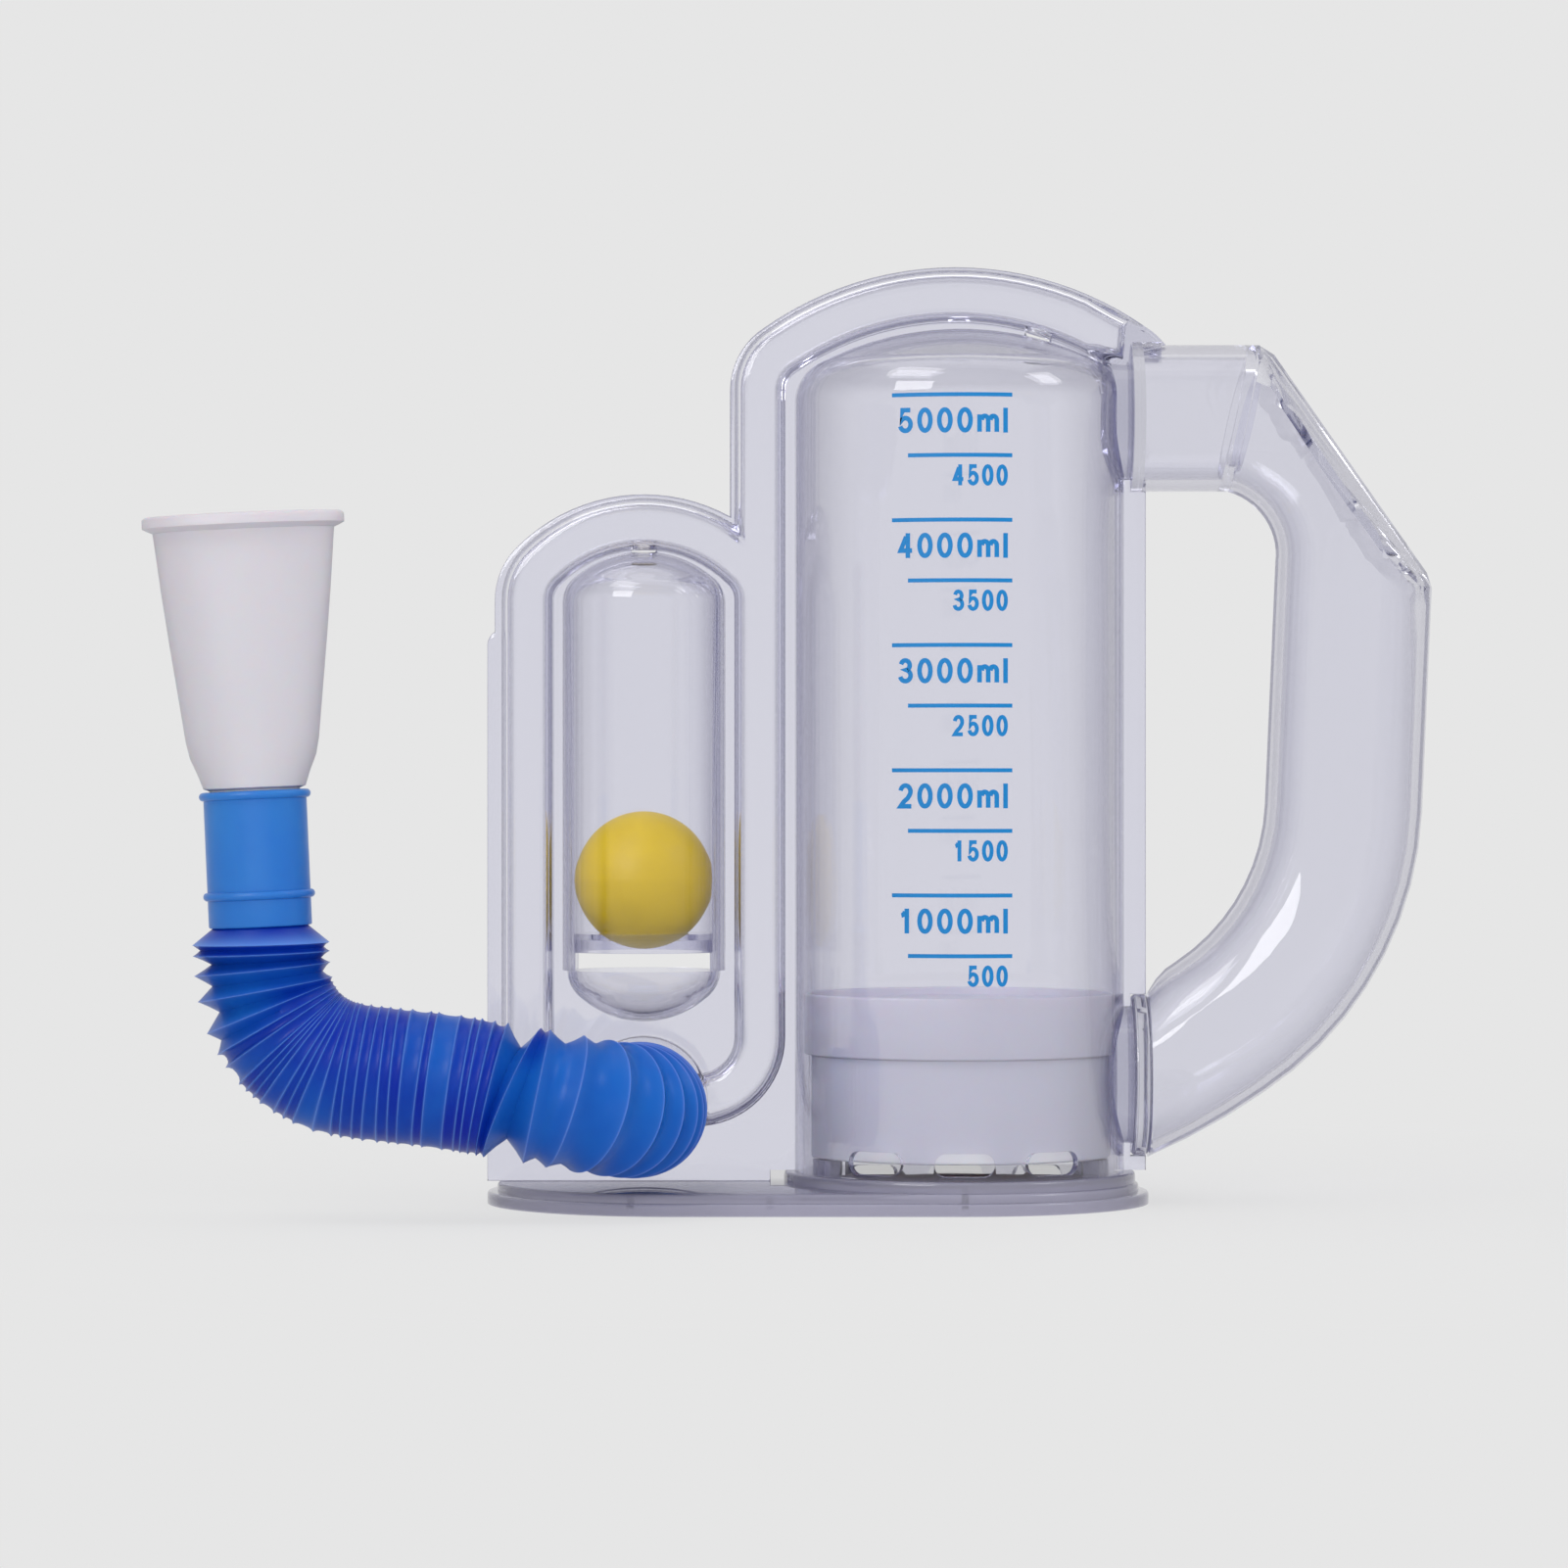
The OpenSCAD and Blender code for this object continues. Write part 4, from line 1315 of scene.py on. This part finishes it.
@dataclass
class Cuff:
    """A smooth cuff with two beads, which holds one end of the hose.

    It starts at the origin of `place` and runs along +Z. `first_bead` is the length at which its
    first bead starts, and `flare` how far a bead's foot reaches from its middle, in bead radii.
    """

    finishes: Finishes
    name: str
    node: str
    place: Matrix
    length: float
    first_bead: float
    body: str = "housing"
    bore: float = 11.15
    radius: float = 12.5
    edge: float = 0.4
    bead: float = 1.05
    flare: float = 1.3
    sides: int = 72
    smooth_deg: float = 50.0

    def build(self) -> bpy.types.Object:
        """Build the cuff."""
        edge, fillet, last = self.edge, self.flare * self.bead, self.length - self.bead
        outline = Outline().to((self.bore, 0.0))
        outline.arc((self.radius - edge, edge), edge, -90, 0, 3)
        for centre in (self.first_bead + self.bead, last):
            outline.to((self.radius, centre - fillet))
            outline.arc((self.radius, centre), self.bead, -90, 90)
            if centre < last:
                outline.to((self.radius, centre + fillet))
        outline.to((self.radius - edge / 2, self.length), (self.bore, self.length))
        piece = revolved(self.name, outline, self.place, self.body, self.sides, self.smooth_deg)
        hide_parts(self.node)
        self.finishes.dress(piece, Finish.CUFF)
        return piece


@dataclass
class Mouthpiece:
    """The mouthpiece on its cuff: round at its spigot and oval at its rolled lip."""

    finishes: Finishes
    cuff_frame: Matrix
    cuff_l: float
    rest_gap: float = 0.3
    height: float = 67.0
    spigot_l: float = 15.0
    spigot_r: float = 11.0
    spigot_taper: float = 0.3
    wall: float = 1.5
    neck_r: float = 12.4
    neck_share: float = 0.12
    lip_half_w: float = 21.8
    lip_half_d: float = 9.6
    # The lip's rings: distance below the top, and outwards from the wall's outside
    lip: tuple[Spot, ...] = (
        (4.0, 0.3), (3.4, 1.68), (2.8, 2.8), (0.7, 2.8), (0.1, 2.1), (0.0, 0.56), (0.3, -1.2),
    )
    # Shares of the height that have a ring
    levels: tuple[float, ...] = (
        0.008, 0.03, 0.06, 0.12, 0.18, 0.27, 0.36, 0.45, 0.54, 0.63, 0.72, 0.81, 0.9,
    )
    # How wide it has grown from neck to lip at shares of the height
    widths: tuple[Spot, ...] = (
        (0.008, 0.0), (0.06, 0.13), (0.12, 0.31), (0.18, 0.4), (0.36, 0.56), (0.54, 0.72),
        (0.72, 0.87), (0.9, 1.0), (1.0, 1.0),
    )
    sides: int = 96
    smooth_deg: float = 50.0

    def section(self, share: float) -> Spot:
        """Return the half width and the half depth at a share of the height."""
        grow = self.widths[-1][1]
        for (low, a), (high, b) in zip(self.widths, self.widths[1:]):
            if low <= share <= high:
                grow = a + (b - a) * (share - low) / (high - low)
                break
        wide = self.neck_r + (self.lip_half_w - self.neck_r) * grow
        return wide, self.neck_r + (self.lip_half_d - self.neck_r) * share

    def build(self) -> bpy.types.Object:
        """Build the mouthpiece as one wall, up its outside and down its inside."""
        foot = -self.spigot_l - self.rest_gap
        tip, bore = self.spigot_r - self.spigot_taper, self.spigot_r - self.wall
        rings: list[Place] = [
            (foot, tip, tip),
            (-self.spigot_l, self.spigot_r, self.spigot_r),
            (0.0, self.spigot_r, self.spigot_r),
        ]
        rings += [(self.height * share, *self.section(share)) for share in self.levels]
        wide, deep = self.section(1.0)
        rings += [(self.height - down, wide + out, deep + out) for down, out in self.lip]
        for share in reversed(self.levels):
            wide, deep = self.section(share)
            inset = self.wall
            if share <= self.neck_share:
                inset += self.neck_r - self.spigot_r
            rings.append((self.height * share, wide - inset, deep - inset))
        rings += [(0.0, bore, bore), (foot, bore, bore)]
        place = self.cuff_frame @ Matrix.Translation((0, 0, (self.cuff_l + self.rest_gap) * MM))
        frames = [
            place @ Matrix.Translation((0, 0, z * MM)) @ Matrix.Diagonal((w * MM, d * MM, MM, 1))
            for z, w, d in rings
        ]
        mesh = bmesh.new()
        lofted(mesh, frames, self.sides)
        piece = finished("oval_mouthpiece", mesh, "mouthpiece", self.smooth_deg)
        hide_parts("mouthpiece")
        self.finishes.dress(piece, Finish.MOUTHPIECE)
        return piece


@dataclass
class HoseLine:
    """The port, the hose with a cuff at each end, and the mouthpiece."""

    finishes: Finishes
    body: str = "housing"
    port_y: float = -12.35
    port_bead: float = 2.835
    lean_deg: float = 2.5
    mouth_cuff_l: float = 33.0
    mouth_bead: float = 6.6

    def build(self) -> list[bpy.types.Object]:
        tube = Hose(self.finishes)
        near, far = tube.route[tube.ribs_from], tube.route[tube.ribs_to]
        down_y = Matrix.Translation(Vector(near) * MM) @ Matrix.Rotation(-math.pi / 2, 4, "X")
        lean = Matrix.Rotation(-math.radians(self.lean_deg), 4, "Y")
        upwards = Matrix.Translation(Vector(far) * MM) @ lean
        port_cuff = Cuff(
            self.finishes, "port_end_cuff", "port_cuff", down_y, self.port_y - near[1],
            self.port_bead,
        ).build()
        mouth_cuff = Cuff(
            self.finishes, "mouth_end_cuff", "mouth_cuff", upwards, self.mouth_cuff_l,
            self.mouth_bead,
        ).build()
        hose = tube.build()
        mouthpiece = Mouthpiece(self.finishes, upwards, self.mouth_cuff_l).build()
        exit_at = [v * MM for v in tube.route[0]]
        [tuple(p) for p in tube.line()]
        port = MouldedCopy("hose_port", self.body).build()
        self.finishes.dress(port, Finish.FITTING)
        return [port_cuff, mouth_cuff, hose, mouthpiece, port]


@dataclass
class CarriedNodes:
    """The CAD nodes that keep their own shape and take a better finish."""

    finishes: Finishes
    kept: dict[str, Finish] = field(
        default_factory=lambda: {"ball_seat": Finish.FITTING, "scale_lines": Finish.INK}
    )

    def build(self) -> list[bpy.types.Object]:
        """Dress each of the nodes."""
        pieces = []
        for node, finish in self.kept.items():
            piece = frame["nodes"][node]
            self.finishes.dress(piece, finish, carried=True)
            pieces.append(piece)
            LOG.info("%s: carried over", node)
        return pieces


# Camera and studio


@dataclass
class PhotoCamera:
    """A level camera at the photograph's place."""

    x: float = -44.75
    distance: float = 1345.0
    height: float = 106.6
    width_seen: float = 400.25
    sensor: float = 36.0

    def build(self) -> bpy.types.Object:
        """Make the camera and make it the scene's."""
        data = bpy.data.cameras.new("photo_camera")
        data.sensor_width = self.sensor
        data.lens = self.sensor * self.distance / self.width_seen
        data.clip_start = 0.05
        data.clip_end = 30.0
        camera = bpy.data.objects.new("photo_camera", data)
        camera.location = Vector((self.x, -self.distance, self.height)) * MM
        camera.rotation_euler = (math.pi / 2, 0.0, 0.0)
        bpy.context.scene.collection.objects.link(camera)
        bpy.context.scene.camera = camera
        return camera


@dataclass(frozen=True)
class SoftBox:
    """A soft lamp that looks at the object's middle.

    Its place is in millimetres, its width and height in metres and its power in watts. `unseen`
    names the kinds of ray that it doesn't reach.
    """

    name: str
    place: Place
    size: Spot
    power: float
    unseen: tuple[str, ...] = ()
    looks_at: Place = (0.0, 0.0, 110.0)

    def build(self) -> bpy.types.Object:
        """Add the lamp to the scene."""
        data = bpy.data.lights.new(self.name, "AREA")
        data.shape = "RECTANGLE"
        data.size, data.size_y = self.size
        data.energy = self.power
        lamp = bpy.data.objects.new(self.name, data)
        lamp.location = Vector(self.place) * MM
        aim = Vector(self.looks_at) * MM - lamp.location
        lamp.rotation_euler = aim.to_track_quat("-Z", "Y").to_euler()
        for kind in self.unseen:
            setattr(lamp, kind, False)
        bpy.context.scene.collection.objects.link(lamp)
        return lamp


@dataclass
class Studio:
    """A pale seamless studio: floor, world and soft lamps. The floor is in metres."""

    backdrop: Colour = linear(230, 230, 230)
    world_light: Colour = (0.98, 0.985, 1.0)
    world_level: float = 0.55
    shadow_share: float = 0.25
    shadow_reach: float = 0.32
    floor_half: float = 4.0
    lamps: tuple[SoftBox, ...] = (
        SoftBox("key_box", (-420, -420, 980), (0.5, 0.4), 2.4),
        SoftBox("fill_box", (760, -300, 760), (0.3, 0.4), 1.6),
        SoftBox("top_box", (0, 60, 900), (0.9, 0.5), 1.2),
        SoftBox(
            "front_box", (0, -1100, 120), (1.0, 0.7), 7.0,
            ("visible_glossy", "visible_transmission"),
        ),
        SoftBox(
            "streak_box", (-475, -700, 490), (0.42, 0.3), 3.2,
            ("visible_diffuse", "visible_transmission"),
        ),
    )

    def build(self) -> None:
        """Make the floor, the world and the lamps."""
        self.floor()
        self.world()
        for lamp in self.lamps:
            lamp.build()
        scene = bpy.context.scene
        scene.view_settings.view_transform = "Standard"
        scene.cycles.transparent_max_bounces = 48
        scene.cycles.max_bounces = 32
        scene.cycles.transmission_bounces = 32
        scene.cycles.glossy_bounces = 16

    def floor(self) -> None:
        """Make the floor, which shows the backdrop's colour and a soft shadow near the object."""
        mesh = bmesh.new()
        bmesh.ops.create_grid(mesh, x_segments=2, y_segments=2, size=self.floor_half)
        data = bpy.data.meshes.new("studio_floor")
        mesh.to_mesh(data)
        mesh.free()
        floor = bpy.data.objects.new("studio_floor", data)
        bpy.context.scene.collection.objects.link(floor)
        graph = Graph(bpy.data.materials.new("studio_floor"))
        spot = {0: graph.place()}
        away = graph.add("ShaderNodeVectorMath", spot, "Value", operation="LENGTH")
        near = (1.0 - away * (1 / self.shadow_reach)).clamped()
        plain = graph.add("ShaderNodeEmission", {"Color": self.backdrop, "Strength": 1.0})
        matte = graph.add("ShaderNodeBsdfDiffuse", {"Color": self.backdrop})
        shown = graph.shows_backdrop() * (1.0 - near * self.shadow_share)
        mix = graph.add("ShaderNodeMixShader", {0: shown, 1: matte, 2: plain})
        data.materials.append(graph.finish(mix))

    def world(self) -> None:
        """Make the world: plain light, and the backdrop's colour where it is seen."""
        graph = Graph(bpy.data.worlds.new("studio"))
        level = {"Color": self.world_light, "Strength": self.world_level}
        light = graph.add("ShaderNodeBackground", level)
        plain = graph.add("ShaderNodeBackground", {"Color": self.backdrop})
        shown = graph.shows_backdrop()
        mix = graph.add("ShaderNodeMixShader", {0: shown, 1: light, 2: plain})
        bpy.context.scene.world = graph.finish(mix)


def main() -> None:
    """Build the camera, the hose and then the rest of the object, and report each piece."""
    logging.basicConfig(level=logging.INFO, format="%(name)s: %(message)s")
    PhotoCamera().build()
    Studio().build()
    finishes = Finishes()
    HoseLine(finishes).build()
    Housing(finishes).build()
    Piston(finishes).build()
    FlowBall(finishes).build()
    ScalePrint(finishes).build()
    Grip(finishes).build()
    CarriedNodes(finishes).build()


if __name__ == "__main__":
    main()
